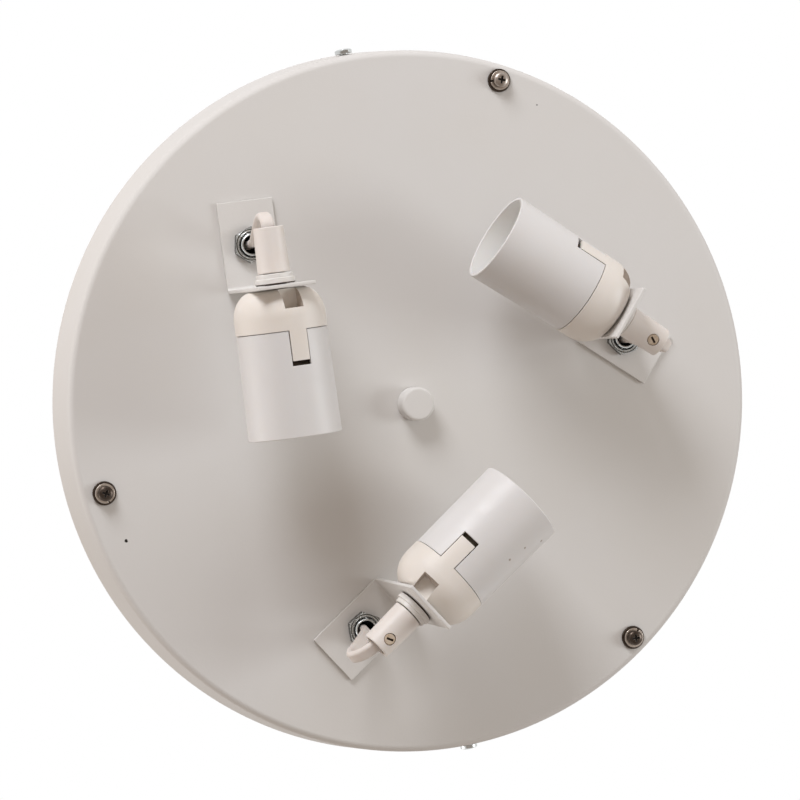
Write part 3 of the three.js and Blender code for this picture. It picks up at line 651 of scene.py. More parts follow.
def dressed(piece, place, node, look=None, within=None):
    """Puts a piece in its finish instead of its CAD node. Where the test called within names a
    finish for a face, in the piece's own frame, the face gets that."""
    named = [within(face) if within else None for face in piece.data.polygons]
    others = sorted({name for name in named if name})
    looks = (look or finish(SLOT_OF[node]), *(finish(name) for name in others))
    fitted(piece, f"{node}_shown", place, node, looks)
    for face, name in zip(piece.data.polygons, named):
        face.material_index = 1 + others.index(name) if name else 0
    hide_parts(node)
    return piece


# Finishes

SWELL_HEIGHT = 1.5  # of a surface's wide swell against its fine grain
HIGHLIGHT_STRENGTH = 0.8
UNDER_REACH = 0.002  # how far light goes under a surface, in metres, and its share by colour
UNDER_RADIUS = (1.0, 0.8, 0.6)


def add(tree, kind, inputs=None, **settings):
    """A node with its settings, and its inputs linked or set, by name or by number."""
    made = tree.nodes.new(kind)
    for name, value in settings.items():
        setattr(made, name, value)
    for name, value in (inputs or {}).items():
        if isinstance(value, bpy.types.NodeSocket):
            tree.links.new(value, made.inputs[name])
        else:
            made.inputs[name].default_value = value
    return made


def calc(tree, operation, *values, kind="ShaderNodeMath"):
    """What comes of an operation on sockets and numbers."""
    return add(tree, kind, dict(enumerate(values)), operation=operation).outputs["Value"]


def vector_calc(tree, operation, *values):
    return calc(tree, operation, *values, kind="ShaderNodeVectorMath")


def place_in(tree):
    return add(tree, "ShaderNodeTexCoord").outputs["Object"]


def noise(tree, scale, detail, roughness=0.5):
    inputs = {"Vector": place_in(tree), "Scale": scale, "Detail": detail, "Roughness": roughness}
    return add(tree, "ShaderNodeTexNoise", inputs).outputs["Fac"]


def ramp(tree, value, start, end, low=0.0, high=1.0, **settings):
    """A value taken from one range to another."""
    made = add(tree, "ShaderNodeMapRange", {"Value": value, "From Min": start, "From Max": end,
                                            "To Min": low, "To Max": high}, **settings)
    return made.outputs["Result"]


def mixed(tree, factor, first, second):
    """The colour between two others, each a socket or four numbers."""
    mix = add(tree, "ShaderNodeMix", data_type="RGBA")
    sockets = {socket.identifier: socket for socket in mix.inputs}
    tree.links.new(factor, sockets["Factor_Float"])
    for label, value in (("A_Color", first), ("B_Color", second)):
        if isinstance(value, bpy.types.NodeSocket):
            tree.links.new(value, sockets[label])
        else:
            sockets[label].default_value = value
    return next(socket for socket in mix.outputs if socket.identifier == "Result_Color")


def effect(name, inputs, outputs):
    """A new shader node group: its tree, what it is given and what it gives."""
    tree = bpy.data.node_groups.new(name, "ShaderNodeTree")
    for way, sockets in (("INPUT", inputs), ("OUTPUT", outputs)):
        for label, kind in sockets.items():
            tree.interface.new_socket(label, in_out=way, socket_type=f"NodeSocket{kind}")
    return tree, add(tree, "NodeGroupInput").outputs, add(tree, "NodeGroupOutput").inputs


def mottle_effect():
    """A second tone that comes and goes in soft patches."""
    inputs = {"Colour": "Color", "Patches": "Color", "Scale": "Float", "Share": "Float"}
    tree, given, made = effect("Mottle", inputs, {"Colour": "Color"})
    cloud = noise(tree, given["Scale"], 3.0, 0.55)
    shade = ramp(tree, cloud, 0.35, 0.7, 0.0, given["Share"], interpolation_type="SMOOTHSTEP")
    tree.links.new(mixed(tree, shade, given["Colour"], given["Patches"]), made["Colour"])


def grain_effect():
    """Fine unevenness of a surface: a height for its bump and a roughness."""
    inputs = {"Scale": "Float", "Swell": "Float", "Low": "Float", "High": "Float"}
    tree, given, made = effect("Grain", inputs, {"Height": "Float", "Roughness": "Float"})
    fine = noise(tree, given["Scale"], 2.0)
    wide = noise(tree, given["Swell"], 1.0)
    height = calc(tree, "MULTIPLY_ADD", wide, SWELL_HEIGHT, fine)
    rough = ramp(tree, wide, 0.3, 0.7, given["Low"], given["High"])
    tree.links.new(height, made["Height"])
    tree.links.new(rough, made["Roughness"])


def mark_effect():
    """A small ragged mark at a place on the surface, laid over a colour."""
    inputs = {"Colour": "Color", "Mark": "Color", "Place": "Vector", "Radius": "Float",
              "Strength": "Float"}
    tree, given, made = effect("Mark", inputs, {"Colour": "Color"})
    ragged = noise(tree, 900.0, 2.0)
    apart = vector_calc(tree, "DISTANCE", place_in(tree), given["Place"])
    share = calc(tree, "DIVIDE", apart, given["Radius"])
    rough = calc(tree, "ADD", share, ragged)
    mask = ramp(tree, rough, 1.5, 1.1, 0.0, given["Strength"], interpolation_type="SMOOTHSTEP")
    tree.links.new(mixed(tree, mask, given["Colour"], given["Mark"]), made["Colour"])


def edge_highlight_effect():
    """Painted highlight: the edges turned to a brighter tone."""
    inputs = {"Colour": "Color", "Worn": "Color", "Reach": "Float", "Strength": "Float"}
    tree, given, made = effect("Edge Wear", inputs, {"Colour": "Color"})
    soft = add(tree, "ShaderNodeBevel", {"Radius": given["Reach"]}, samples=6).outputs["Normal"]
    true = add(tree, "ShaderNodeNewGeometry").outputs["Normal"]
    same = vector_calc(tree, "DOT_PRODUCT", soft, true)
    mask = ramp(tree, same, 0.995, 0.9, 0.0, given["Strength"])
    tree.links.new(mixed(tree, mask, given["Colour"], given["Worn"]), made["Colour"])


EFFECTS = {
    "Mottle": mottle_effect,
    "Grain": grain_effect,
    "Mark": mark_effect,
    "Edge Wear": edge_highlight_effect,
}


def placed(tree, name, inputs):
    """One of the shared effects in a material's tree."""
    if name not in bpy.data.node_groups:
        EFFECTS[name]()
    return add(tree, "ShaderNodeGroup", inputs, node_tree=bpy.data.node_groups[name]).outputs


def bare_material(name):
    made = bpy.data.materials.new(name)
    made.use_nodes = True
    tree = made.node_tree
    return made, tree, tree.nodes["Principled BSDF"]


def solid_material(name, stuff, marks=()):
    """A material from a finish, with marks given as place, radius, strength and colour."""
    made, tree, shader = bare_material(name)
    base = stuff.base
    if isinstance(base, str):
        base = getattr(bpy.context.scene.ceiling_light.colours, base)
    second = (share * part for share, part in zip(stuff.patches, base))
    tone = placed(tree, "Mottle", {
        "Colour": (*base, 1.0), "Patches": (*second, 1.0),
        "Scale": stuff.patch_scale, "Share": stuff.patch_share,
    })["Colour"]
    for place, radius, strength, shade in marks:
        tone = placed(tree, "Mark", {"Colour": tone, "Mark": (*shade, 1.0), "Place": place,
                                     "Radius": radius, "Strength": strength})["Colour"]
    # Painted highlight along the edges
    if stuff.worn:
        tone = placed(tree, "Edge Wear", {
            "Colour": tone, "Worn": (*stuff.worn, 1.0),
            "Reach": stuff.wear_reach, "Strength": HIGHLIGHT_STRENGTH,
        })["Colour"]
    low, high = stuff.roughness
    uneven = placed(tree, "Grain", {"Scale": stuff.grain_scale, "Swell": stuff.swell_scale,
                                    "Low": low, "High": high})
    bump = add(tree, "ShaderNodeBump", {"Strength": 1.0, "Distance": stuff.relief,
                                        "Height": uneven["Height"]})
    tree.links.new(tone, shader.inputs["Base Color"])
    tree.links.new(uneven["Roughness"], shader.inputs["Roughness"])
    tree.links.new(bump.outputs["Normal"], shader.inputs["Normal"])
    shader.inputs["Metallic"].default_value = stuff.metal
    shader.inputs["Specular IOR Level"].default_value = stuff.gloss
    if stuff.under:
        shader.inputs["Subsurface Weight"].default_value = stuff.under
        shader.inputs["Subsurface Scale"].default_value = UNDER_REACH
        shader.inputs["Subsurface Radius"].default_value = UNDER_RADIUS
    return made


class Finish(NamedTuple):
    """A plain solid stuff with soft patches of a second tone and a fine grain"""

    base: str | tuple  # one of the colours that a user may change, or a colour
    patches: tuple  # the second tone, as a share of the base
    patch_scale: float
    patch_share: float
    grain_scale: float
    swell_scale: float
    roughness: tuple  # lowest and highest
    relief: float  # depth of the grain, in metres
    metal: float = 0.0
    gloss: float = 0.5
    under: float = 0.0  # share of the light that goes under the surface
    worn: tuple = ()  # tone of the painted highlight along the edges
    wear_reach: float = 0.0


# Nickel plate, with a painted highlight along its edges
def nickel(base):
    return Finish(base, (0.7, 0.66, 0.62), 380, 0.8, 3000, 600, (0.3, 0.44), 0.00002, metal=1.0,
                  worn=(0.86, 0.77, 0.69), wear_reach=0.00014)


PAINT = Finish("paint", (0.985, 0.975, 0.955), 9, 0.8, 900, 60, (0.5, 0.55), 0.00002, gloss=0.12)

FINISHES = {
    "white_paint": PAINT,
    "cap_paint": PAINT,
    "bracket_paint": Finish("bracket", (0.985, 0.975, 0.955), 9, 0.8, 900, 60, (0.42, 0.5),
                            0.00003),
    # Zinc plate, with a painted highlight along its edges
    "zinc_steel": Finish("zinc", (0.78, 0.79, 0.79), 320, 0.8, 3200, 500, (0.14, 0.3), 0.00002,
                         metal=1.0, worn=(0.94, 0.94, 0.92), wear_reach=0.0002),
    # Painted shade of the zinc on the nuts' flats
    "zinc_shade": Finish("zinc_flats", (0.6, 0.61, 0.61), 320, 0.8, 3200, 500, (0.2, 0.34),
                         0.00002, metal=1.0),
    "dark_nickel": nickel("dark_nickel"),
    "pale_nickel": nickel("pale_nickel"),
    "spring_nickel": nickel("spring_nickel"),
    "brass": Finish("brass", (0.8, 0.72, 0.62), 300, 0.8, 3000, 500, (0.25, 0.42), 0.00002,
                    metal=1.0),
    "rolled_shell": Finish("shell", (0.85, 0.84, 0.82), 300, 0.8, 2800, 420, (0.26, 0.42),
                           0.00002, metal=1.0),
    "cream_plastic": Finish("cap_cream", (0.99, 0.975, 0.95), 55, 0.7, 2400, 160, (0.42, 0.5),
                            0.00002, under=0.1),
    "white_plastic": Finish("grip_white", (0.99, 0.97, 0.95), 90, 0.7, 2400, 200, (0.38, 0.46),
                            0.00002, under=0.1),
    "sleeve_plastic": Finish("sleeve_white", (0.985, 0.98, 0.97), 50, 0.7, 2600, 140, (0.4, 0.48),
                             0.000018, under=0.08),
    # Painted light: a lighter copy of the sleeve's plastic for its inside
    "sleeve_lining": Finish((0.90, 0.895, 0.88), (0.985, 0.98, 0.97), 50, 0.7, 2600, 140,
                            (0.4, 0.48), 0.000018, under=0.1),
    "pale_nylon": Finish("nylon", (0.98, 0.98, 0.96), 120, 0.6, 2600, 240, (0.36, 0.46), 0.00002,
                         under=0.08),
    "tan_nylon": Finish("screw_tan", (0.8, 0.72, 0.62), 420, 0.9, 2600, 400, (0.4, 0.55),
                        0.00003),
    "terminal_nylon": Finish("terminal", (0.97, 0.96, 0.92), 180, 0.7, 2400, 260, (0.38, 0.5),
                             0.00002, under=0.25),
    "flex_cover": Finish("flex_white", (0.98, 0.96, 0.94), 160, 0.7, 1800, 260, (0.48, 0.58),
                         0.00003, under=0.12),
    "ceramic": Finish("ceramic", (0.95, 0.93, 0.88), 260, 0.8, 4200, 500, (0.55, 0.75), 0.00004),
    # Painted shade on the shells' outsides, in the dark between shell and sleeve
    "shell_outside": Finish((0.15, 0.12, 0.09), (0.7, 0.66, 0.62), 300, 0.8, 2400, 300,
                            (0.5, 0.65), 0.00002, metal=0.6),
    # Painted shade in the caps' notches: darker copies of the cream plastic
    "notch_wall": Finish((0.64, 0.57, 0.51), (0.8, 0.77, 0.74), 300, 0.8, 2400, 300, (0.5, 0.6),
                         0.00002),
    "notch_floor": Finish((0.83, 0.79, 0.74), (0.93, 0.9, 0.87), 120, 0.8, 2400, 300, (0.5, 0.6),
                          0.00002),
    "bore_shade": Finish((0.012, 0.01, 0.009), (0.6, 0.6, 0.6), 300, 0.8, 2000, 500, (0.75, 0.9),
                         0.00003),
    "recess_shade": Finish((0.02, 0.014, 0.01), (0.6, 0.55, 0.5), 900, 0.8, 3000, 700, (0.6, 0.8),
                           0.00003),
    # Painted shade in the clamping screws' slots and on the lock rings' faces next to the legs
    "screw_slot_grime": Finish((0.07, 0.045, 0.03), (0.5, 0.5, 0.5), 900, 0.8, 3000, 700,
                               (0.6, 0.8), 0.00003),
}


def finish(name):
    """The material of a finish, made at its first use."""
    look = f"{name}_look"
    return bpy.data.materials.get(look) or solid_material(look, FINISHES[name])


# Pan and strap


def skirt_flare(s):
    """The skirt's lean from upright, in degrees."""
    out, up = s.rim_radius - s.face_radius + s.bend_radius, s.depth - s.bend_radius
    return math.degrees(math.atan2(out, up) - math.asin(s.bend_radius / math.hypot(out, up)))


def pan_piece():
    s, f = lengths("pan"), lengths("fastener")
    flare = skirt_flare(s)
    bend = (s.face_radius - s.bend_radius, s.bend_radius)
    middle = s.face_radius / 2
    skin = rounded([
        arc(bend, s.bend_radius, -90, -flare, 1)[-1],
        (s.rim_radius, s.depth, s.lip_radius),
        (s.rim_radius - s.sheet, s.depth, s.lip_radius),
        arc(bend, s.bend_radius - s.sheet, -flare, -90, 1)[0],
    ], closed=False)
    outline = [
        (middle, 0),
        *arc(bend, s.bend_radius, -90, -flare, 2 * ARC_STEPS)[:-1],
        *skin[:-1],
        *arc(bend, s.bend_radius - s.sheet, -flare, -90, 2 * ARC_STEPS),
        (middle, s.sheet),
    ]
    pan = spun("pan", outline, PAN_SIDES, capped=True)
    collars = []
    holes = []
    for k in ARMS:
        screw = box_of(f"shade_screw_{k}").centre
        place = at(screw.x, screw.y, 0)
        top = s.sheet + s.collar_height
        collars.append(moved(cutter_rod(s.collar_radius, s.sheet / 2, top), place))
        holes.append(moved(cutter_rod(f.thread_radius + s.hole_gap, -1, top + 1), place))
        pivot = joint_place(f"swivel_{k}")
        bore = cutter_rod(f.tube_radius + s.hole_gap, -1, s.sheet + 1)
        holes.append(moved(bore, at(pivot.x, pivot.y, 0)))
    bore = cutter_rod(f.thread_radius + s.hole_gap, -1, s.sheet + 1)
    holes.append(moved(bore, at(PATTERN.x, PATTERN.y, 0)))
    for side in (0, 180):
        bore = along_x(cutter_rod(f.thread_radius + s.hole_gap, s.rim_radius - 6, s.rim_radius + 2))
        moved(bore, turned(strap_degrees() + side, "Z") @ at(0, 0, s.depth - s.side_screw_drop))
        holes.append(bore)
    combined(pan, collars, "UNION")
    combined(pan, holes)
    look = solid_material("pan_paint", PAINT, pan_marks())
    return dressed(softened(pan), METRES @ at(0, 0, FACE), "pan", look)


def strap_degrees():
    return math.degrees(bpy.context.scene.ceiling_light.pan.strap_degrees)


# Specks in the paint: place on the face and radius, in millimetres, and strength
SPECKS = ((53.86, -132.28, 0.85, 1.0), (48.99, 134.81, 0.5, 0.7))
SPECK_SHADE = (0.02, 0.016, 0.013)


def pan_marks():
    return [(Vector((x, y, FACE)) * MM, radius * MM, strength, SPECK_SHADE)
            for x, y, radius, strength in SPECKS]


def strap_piece():
    s, f = lengths("pan"), lengths("fastener")
    out, width = s.strap_tab_face, s.strap_width
    inner = out - s.strap_sheet
    side = rounded([
        (-out, -s.strap_tab), (-out, 0, s.strap_bend), (out, 0, s.strap_bend), (out, -s.strap_tab),
        (inner, -s.strap_tab), (inner, -s.strap_sheet, s.strap_bend / 2),
        (-inner, -s.strap_sheet, s.strap_bend / 2), (-inner, -s.strap_tab),
    ])
    strap = moved(prism("strap", side, -width / 2, width / 2), turned(90, "X"))
    holes = []
    near = s.slot_inset + s.slot_width / 2
    far = s.slot_inset + s.slot_length - s.slot_width / 2
    low, high = -s.strap_sheet - 1, 1
    for turn in (0, 180):
        spin = turned(turn, "Z")
        half = s.slot_width / 2
        slot = arc((near, 0), half, 90, 270, 16) + arc((far, 0), half, -90, 90, 16)
        holes.append(moved(prism("cutter", slot, low, high), spin))
        cable_hole = cutter_rod(s.cable_hole_radius, low, high)
        holes.append(moved(cable_hole, spin @ at(s.cable_hole_inset, 0, 0)))
        bore = along_x(cutter_rod(f.thread_radius + s.hole_gap, out - 6, out + 6))
        holes.append(moved(bore, spin @ at(0, 0, -s.side_screw_drop)))
    combined(strap, holes)
    softened(strap, s.edge)
    return dressed(strap, METRES @ turned(strap_degrees(), "Z"), "ceiling_bar")


def cap_piece():
    """The round cap in the middle of the face."""
    s = lengths("pan")
    body = box_of("centre_cap")
    height, radius = body.high - body.low, body.half.x
    inner, middle, rim_edge, root = radius - s.cap_wall, 0.5, 0.2, 0.5
    outline = rounded([
        (middle, 0), (radius, 0, s.cap_edge), (radius, height, rim_edge), (inner, height, rim_edge),
        (inner, s.cap_wall, root), (middle, s.cap_wall),
    ], closed=False)
    cap = spun("cap", outline, SMALL_SIDES, capped=True)
    return dressed(softened(cap), over("centre_cap", body.low), "centre_cap", finish("cap_paint"))


# Screws, washers and nuts

HEAD_FLAT = 0.45  # flat of a screw's head, as a share of its radius
BUSH_PLAY = 0.08  # between a bush and its tube
BUSH_ROOM = 0.15  # between a bush and its flex
BUSH_HEIGHT = 1.2
BUSH_DEPTH = 1.6  # from the tube's end to the bush's foot
NUT_SIDES = 96
NUT_FACE_INSET = 0.1  # from a nut's flats to the ring that its corners are turned down from
NUT_CORNER_ROOM = 0.05  # from its corners out to the cutter
NUT_SINK = 0.5  # countersink of its bore


def screw_blank(head_radius, head_height, length, dome=0.55):
    """A screw along +Z, its head's seat at 0 and the head below, with a threaded shank."""
    f = lengths("fastener")
    collar, taper, steps = 0.2, 0.4, 10
    start = math.asin(HEAD_FLAT)
    angles = (start + (math.pi / 2 - start) * k / steps for k in range(steps + 1))
    crown = [
        (head_radius * math.sin(a), -head_height * (1 - dome) - head_height * dome * math.cos(a))
        for a in angles
    ]
    under = rounded([
        crown[-1], (head_radius, 0, f.edge), (f.thread_radius, 0), (f.thread_radius, collar),
    ], closed=False)[1:-1]
    shank = rows(f.thread_radius, collar, length - taper, f.thread_pitch)
    tip = (f.thread_radius - taper, length)
    thread = thread_of(collar, length - taper, f.thread_pitch, f.thread_depth)
    return spun("screw", [*crown, *under, *shank, tip], THREAD_SIDES, capped=True,
                thread=thread, threaded_radii=(f.thread_radius,))


def cross_cutters(f):
    """A cross that narrows towards its floor."""
    cutters = []
    for turn in (0, 90):
        long, short = f.recess_length / 2, f.recess_width / 2
        mouth, floor = -f.head_height - 0.3, -f.head_height + f.recess_depth
        side = [(-long, mouth), (long, mouth), (long * 0.45, floor), (-long * 0.45, floor)]
        arm = moved(prism("cutter", side, -short, short), turned(90, "X"))
        cutters.append(moved(arm, turned(turn, "Z")))
    return cutters


def shade_screw_piece(number):
    f = lengths("fastener")
    node = f"shade_screw_{number}"
    body = box_of(node)
    head = body.low + f.head_height
    screw = screw_blank(f.head_radius, f.head_height, body.high - head)
    combined(screw, cross_cutters(f))
    softened(screw, f.edge / 2, segments=1)
    turn = turned(SCREW_TURNS[number - 1], "Z")
    look = finish(SCREW_LOOKS[number - 1])
    return dressed(screw, over(node, head) @ turn, node, look, within=cross_test(f))


def cross_test(f):
    """Names the finish of the faces inside a screw's cross."""
    half, short = f.recess_length / 2, f.recess_width / 2

    def in_cross(face):
        x, y = abs(face.center.x), abs(face.center.y)
        sunk = -f.head_height * 0.93 < face.center.z < -f.head_height + f.recess_depth + 0.05
        inside = sunk and min(x, y) < short + 0.03 and max(x, y) < half
        return "recess_shade" if inside else None

    return in_cross


SCREW_TURNS = (57, 40, 65)  # degrees that each shade screw's cross is turned
SCREW_LOOKS = ("pale_nickel", "dark_nickel", "dark_nickel")


def flat_washer_piece(number):
    f = lengths("fastener")
    node = f"flat_washer_{number}"
    body = box_of(node)
    high, bore, edge = body.high - body.low, f.spring_bore, f.edge
    outer = body.half.x
    ring = spun("washer", rounded([
        (bore, 0, edge), (outer, 0, 2 * edge), (outer, high, edge), (bore, high, edge),
    ]), SMALL_SIDES)
    return dressed(softened(ring), over(node, body.low), node)


def spring_washer_piece(number):
    """A split ring whose one end stands over the other."""
    f = lengths("fastener")
    node = f"spring_washer_{number}"
    body = box_of(node)
    outer, bore = f.spring_radius, f.spring_bore
    inner_edge, outer_edge = 0.12, 0.2
    thick = body.high - body.low - f.spring_lift / 2
    gap = f.spring_gap / outer
    section = rounded([
        (bore, 0, inner_edge), (outer, 0, outer_edge), (outer, thick, outer_edge),
        (bore, thick, inner_edge),
    ])
    bm = bmesh.new()
    rings = []
    for k in range(SMALL_SIDES + 1):
        share = k / SMALL_SIDES
        turn = gap / 2 + (TURN - gap) * share
        cos, sin = math.cos(turn), math.sin(turn)
        lift = f.spring_lift * (share - 0.5)
        rings.append([
            bm.verts.new((r * cos, r * sin, z + lift + f.spring_lift / 4)) for r, z in section
        ])
    ring = softened(skinned(bm, "spring washer", rings))
    pivot = box_of(f"flat_washer_{number}").centre
    place = METRES @ at(pivot.x, pivot.y, body.low) @ turned(SPLIT_TURNS[number - 1], "Z")
    return dressed(ring, place, node, finish("spring_nickel"))


SPLIT_TURNS = (-50, 75, 200)  # degrees that each spring washer's split is turned


def side_screw_piece(number):
    s, f = lengths("pan"), lengths("fastener")
    screw = screw_blank(f.side_head_radius, f.side_head_height, f.side_length, dome=0.4)
    half = f.side_head_radius + 1
    low, high = -f.side_head_height - 1, -f.side_head_height + f.slot_depth
    slot = cutter_block((-half, -f.slot_width / 2, low), (half, f.slot_width / 2, high))
    combined(screw, [slot])
    softened(screw, f.edge / 2, segments=1)
    node = f"side_screw_{number}"
    tan = math.tan(math.radians(skirt_flare(s)))
    seat = s.rim_radius - (s.side_screw_drop - f.side_head_radius) * tan + s.hole_gap
    turn = turned(strap_degrees() + 180 * (number - 1), "Z")
    place = METRES @ turn @ at(seat, 0, -s.side_screw_drop) @ turned(-90, "Y") @ turned(25, "Z")
    return dressed(screw, place, node)


def hexagon(flats):
    corner = flats / math.sqrt(3)
    angles = (math.radians(60 * k) for k in range(6))
    return [(corner * math.cos(a), corner * math.sin(a)) for a in angles]


def nut_blank(flats, bore, height, chamfer):
    """A hexagon nut from 0 to its height, its corners turned down and its bore countersunk."""
    nut = prism("nut", hexagon(flats), 0, height)
    face, corner = flats / 2 - NUT_FACE_INSET, flats / math.sqrt(3) + NUT_CORNER_ROOM
    profile = [(face, height), (corner, height - chamfer), (corner, chamfer), (face, 0)]
    combined(nut, [spun("cutter", profile, NUT_SIDES, capped=True)], "INTERSECT")
    wide = bore + NUT_SINK
    bore_profile = [
        (wide + 1, -1), (wide, 0), (bore, NUT_SINK), (bore, height - NUT_SINK), (wide, height),
        (wide + 1, height + 1),
    ]
    return combined(nut, [spun("cutter", bore_profile, NUT_SIDES, capped=True)])


def tube_nut_pieces(number):
    f = lengths("fastener")
    turns = {f"front_nut_{number}": FRONT_NUT_TURNS[number - 1], f"back_nut_{number}": 0}
    for node, turn in turns.items():
        body = box_of(node)
        nut = nut_blank(f.nut_flats, f.nut_bore, body.high - body.low, f.nut_chamfer)
        middle = (f.nut_bore + f.nut_flats / 2) / 2
        near, far = middle - f.nut_groove / 2, middle + f.nut_groove / 2
        below = -0.05
        groove = spun("cutter", [
            (near, 0), (near, below), (far, below), (far, 0), (middle, f.groove_depth),
        ], SMALL_SIDES)
        combined(nut, [groove])
        softened(nut, f.edge)
        pivot = joint_place(f"swivel_{number}")
        spin = turned(120 * (number - 1) + turn, "Z")
        dressed(nut, METRES @ at(pivot.x, pivot.y, body.low) @ spin, node, within=on_flat)


def on_flat(face):
    """Names the painted shade, a darker copy of the zinc, on a nut's flat faces."""
    return "zinc_shade" if abs(face.normal.z) > 0.97 or abs(face.normal.z) < 0.1 else None


FRONT_NUT_TURNS = (-13, 0, 37)  # degrees that each nut under a bracket is turned


def threaded_tube_piece(number):
    f = lengths("fastener")
    node = f"threaded_tube_{number}"
    body = box_of(node)
    length = body.high - body.low
    slope = 0.4
    thread = thread_of(slope, length - slope, f.tube_pitch, f.tube_depth)
    outline = [
        (f.tube_bore + 0.15, 0), (f.tube_radius - slope, 0),
        *rows(f.tube_radius, slope, length - slope, f.tube_pitch),
        (f.tube_radius - slope, length), (f.tube_bore + 0.15, length),
        (f.tube_bore, length - 0.2), (f.tube_bore, 0.2),
    ]
    tube = spun("tube", outline, THREAD_SIDES, thread=thread, threaded_radii=(f.tube_radius,))
    pivot = joint_place(f"swivel_{number}")

    def in_bore(face):
        return "bore_shade" if face.center.xy.length < f.tube_bore + 0.05 else None

    place = METRES @ at(pivot.x, pivot.y, body.low)
    return dressed(softened(tube), place, node, within=in_bore)


def tube_bush_piece(number):
    """The dark bush that keeps the flex off the upper end of its threaded tube; its near-black
    finish is painted shade, like the bore's.
    """
    f, w = lengths("fastener"), lengths("wiring")
    top = box_of(f"threaded_tube_{number}").high
    bush = cutter_rod(f.tube_bore - BUSH_PLAY, 0, BUSH_HEIGHT)
    high, wide = w.flex_height / 2 + BUSH_ROOM, w.flex_width / 2 + BUSH_ROOM
    ends = arc((wide - high, 0), high, -90, 90, 12) + arc((high - wide, 0), high, 90, 270, 12)
    combined(bush, [moved(prism("cutter", ends, -1, 3), turned(90, "Z"))])
    softened(bush)
    place = arm_frame(number) @ at(0, 0, top - FACE - BUSH_DEPTH)
    return fitted(bush, f"tube_bush_{number}", place, f"flex_{number}", [finish("bore_shade")])


def centre_screw_pieces():
    f = lengths("fastener")
    body = box_of("centre_screw")
    screw = screw_blank(f.centre_head_radius, f.centre_head_height,
                        body.high - body.low - f.centre_head_height)
    sunk = at(0, 0, f.head_height - f.centre_head_height)
    combined(screw, [moved(cutter, sunk) for cutter in cross_cutters(f)])
    softened(screw, f.edge / 2, segments=1)
    dressed(screw, over("centre_screw", body.low + f.centre_head_height), "centre_screw")
    body = box_of("centre_nut")
    nut = nut_blank(f.centre_nut_flats, f.thread_radius + 0.3, body.high - body.low, 0.4)
    softened(nut, f.edge)
    dressed(nut, over("centre_nut", body.low), "centre_nut")


# Wiring in the pan


def terminal_pieces():
    w = lengths("wiring")
    body = box_of("terminal_block")
    width = body.half.y * 2
    deep = w.block_depth / 2
    floor = w.block_height - w.screw_well
    foot = cutter_block((-deep, -width / 2, 0), (deep, width / 2, w.block_foot))
    foot.name = "terminal"
    poles = []
    cuts = []
    screws = []
    for k in (-1, 0, 1):
        y = w.pole_pitch * k
        half = w.pole_width / 2
        side = rounded([(y - half, 0.0), (y + half, 0.0), (y + half, w.block_height, 1.4),
                        (y - half, w.block_height, 1.4)])
        pole = prism("pole", side, -deep, deep)
        poles.append(moved(pole, Matrix(((0, 0, 1, 0), (1, 0, 0, 0), (0, 1, 0, 0), (0, 0, 0, 1)))))
        bore = along_x(cutter_rod(w.wire_bore, -deep - 1, deep + 1, BORE_SIDES))
        cuts.append(moved(bore, at(0, y, w.block_height / 2)))
        for end in (-1, 1):
            well = cutter_rod(w.screw_bore, floor, w.block_height + 1, BORE_SIDES)
            cuts.append(moved(well, at(end * deep / 2, y, 0)))
            screws.append((end * deep / 2, y))
    combined(foot, poles, "UNION")
    f = lengths("fastener")
    for k in (-0.5, 0.5):
        hole = cutter_rod(f.thread_radius + 0.3, -1, w.block_height + 1, BORE_SIDES)
        cuts.append(moved(hole, at(0, w.pole_pitch * k, 0)))
    combined(foot, cuts)
    softened(foot, 0.3)
    dressed(foot, over("terminal_block", body.low), "terminal_block")
    radius, middle, seat, high, edge = w.screw_bore - 0.15, 0.3, 0.05, 2.4, 0.3
    slot_half, slot_floor = 0.3, 1.6
    for i, (x, y) in enumerate(screws):
        head = spun("screw", rounded([
            (middle, seat), (radius, seat), (radius, high, edge), (middle, high),
        ], closed=False), BORE_SIDES, capped=True)
        slot = cutter_block((-3, -slot_half, slot_floor), (3, slot_half, 3))
        combined(head, [slot])
        softened(head, 0.08, segments=1)
        place = over("terminal_block", body.low) @ at(x, y, floor) @ turned(37 * i, "Z")
        fitted(head, f"terminal_screw_{i + 1}", place, "terminal_block", [finish("brass")])


def earth_tag_piece():
    w, f = lengths("wiring"), lengths("fastener")
    body = box_of("earth_tag")
    half = w.tag_width / 2
    eye = math.degrees(math.asin(half / w.tag_ring))
    flat = arc((0, 0), w.tag_ring, eye, 360 - eye, 48)
    flat += [(w.tag_reach - 1, -half), (w.tag_reach - 1, half)]
    tag = prism("tag", flat, 0, w.tag_sheet)
    outer, inner, root = w.tag_reach, w.tag_reach - w.tag_sheet, w.tag_reach - 2
    side = rounded([
        (root, 0), (outer, 0, 1.4), (outer, w.tag_rise), (inner, w.tag_rise),
        (inner, w.tag_sheet, 0.6), (root, w.tag_sheet),
    ])
    blade = moved(prism("blade", side, -half, half), turned(90, "X"))
    combined(tag, [blade], "UNION")
    hole = cutter_rod(f.thread_radius + 0.3, -1, w.tag_sheet + 1)
    eyelet = along_x(cutter_rod(0.9, w.tag_reach - 3, w.tag_reach + 1, BORE_SIDES))
    combined(tag, [hole, moved(eyelet, at(0, 0, w.tag_rise - 2.6))])
    softened(tag, 0.12, segments=1)
    return dressed(tag, METRES @ at(PATTERN.x, PATTERN.y, body.low) @ turned(-90, "Z"), "earth_tag")


# Routes of the flat flexes: shares of the loop's reach and of the climb, and the sideways bulge
LOOP_SHARES = (0.7, 0.61, 1.0)
SWAY_SHARES = (0.0, 0.2, -0.4)
NOSE_SWAY_SHARES = (-0.12, 0.12, 0.0)
REACH_SHARES = (0.08, 0.5, 0.95, 1.0, 0.75)
HEIGHT_SHARES = (0.1, 0.37, 0.67, 0.86, 0.975)
BULGE_SHARES = (0.0, 0.35, 0.95, 1.0, 0.5)
NOSE_SHARES = (1.0, 0.5, 0.1, 0.0, 0.0)
LEAD_POLES = (1, 2, 0)


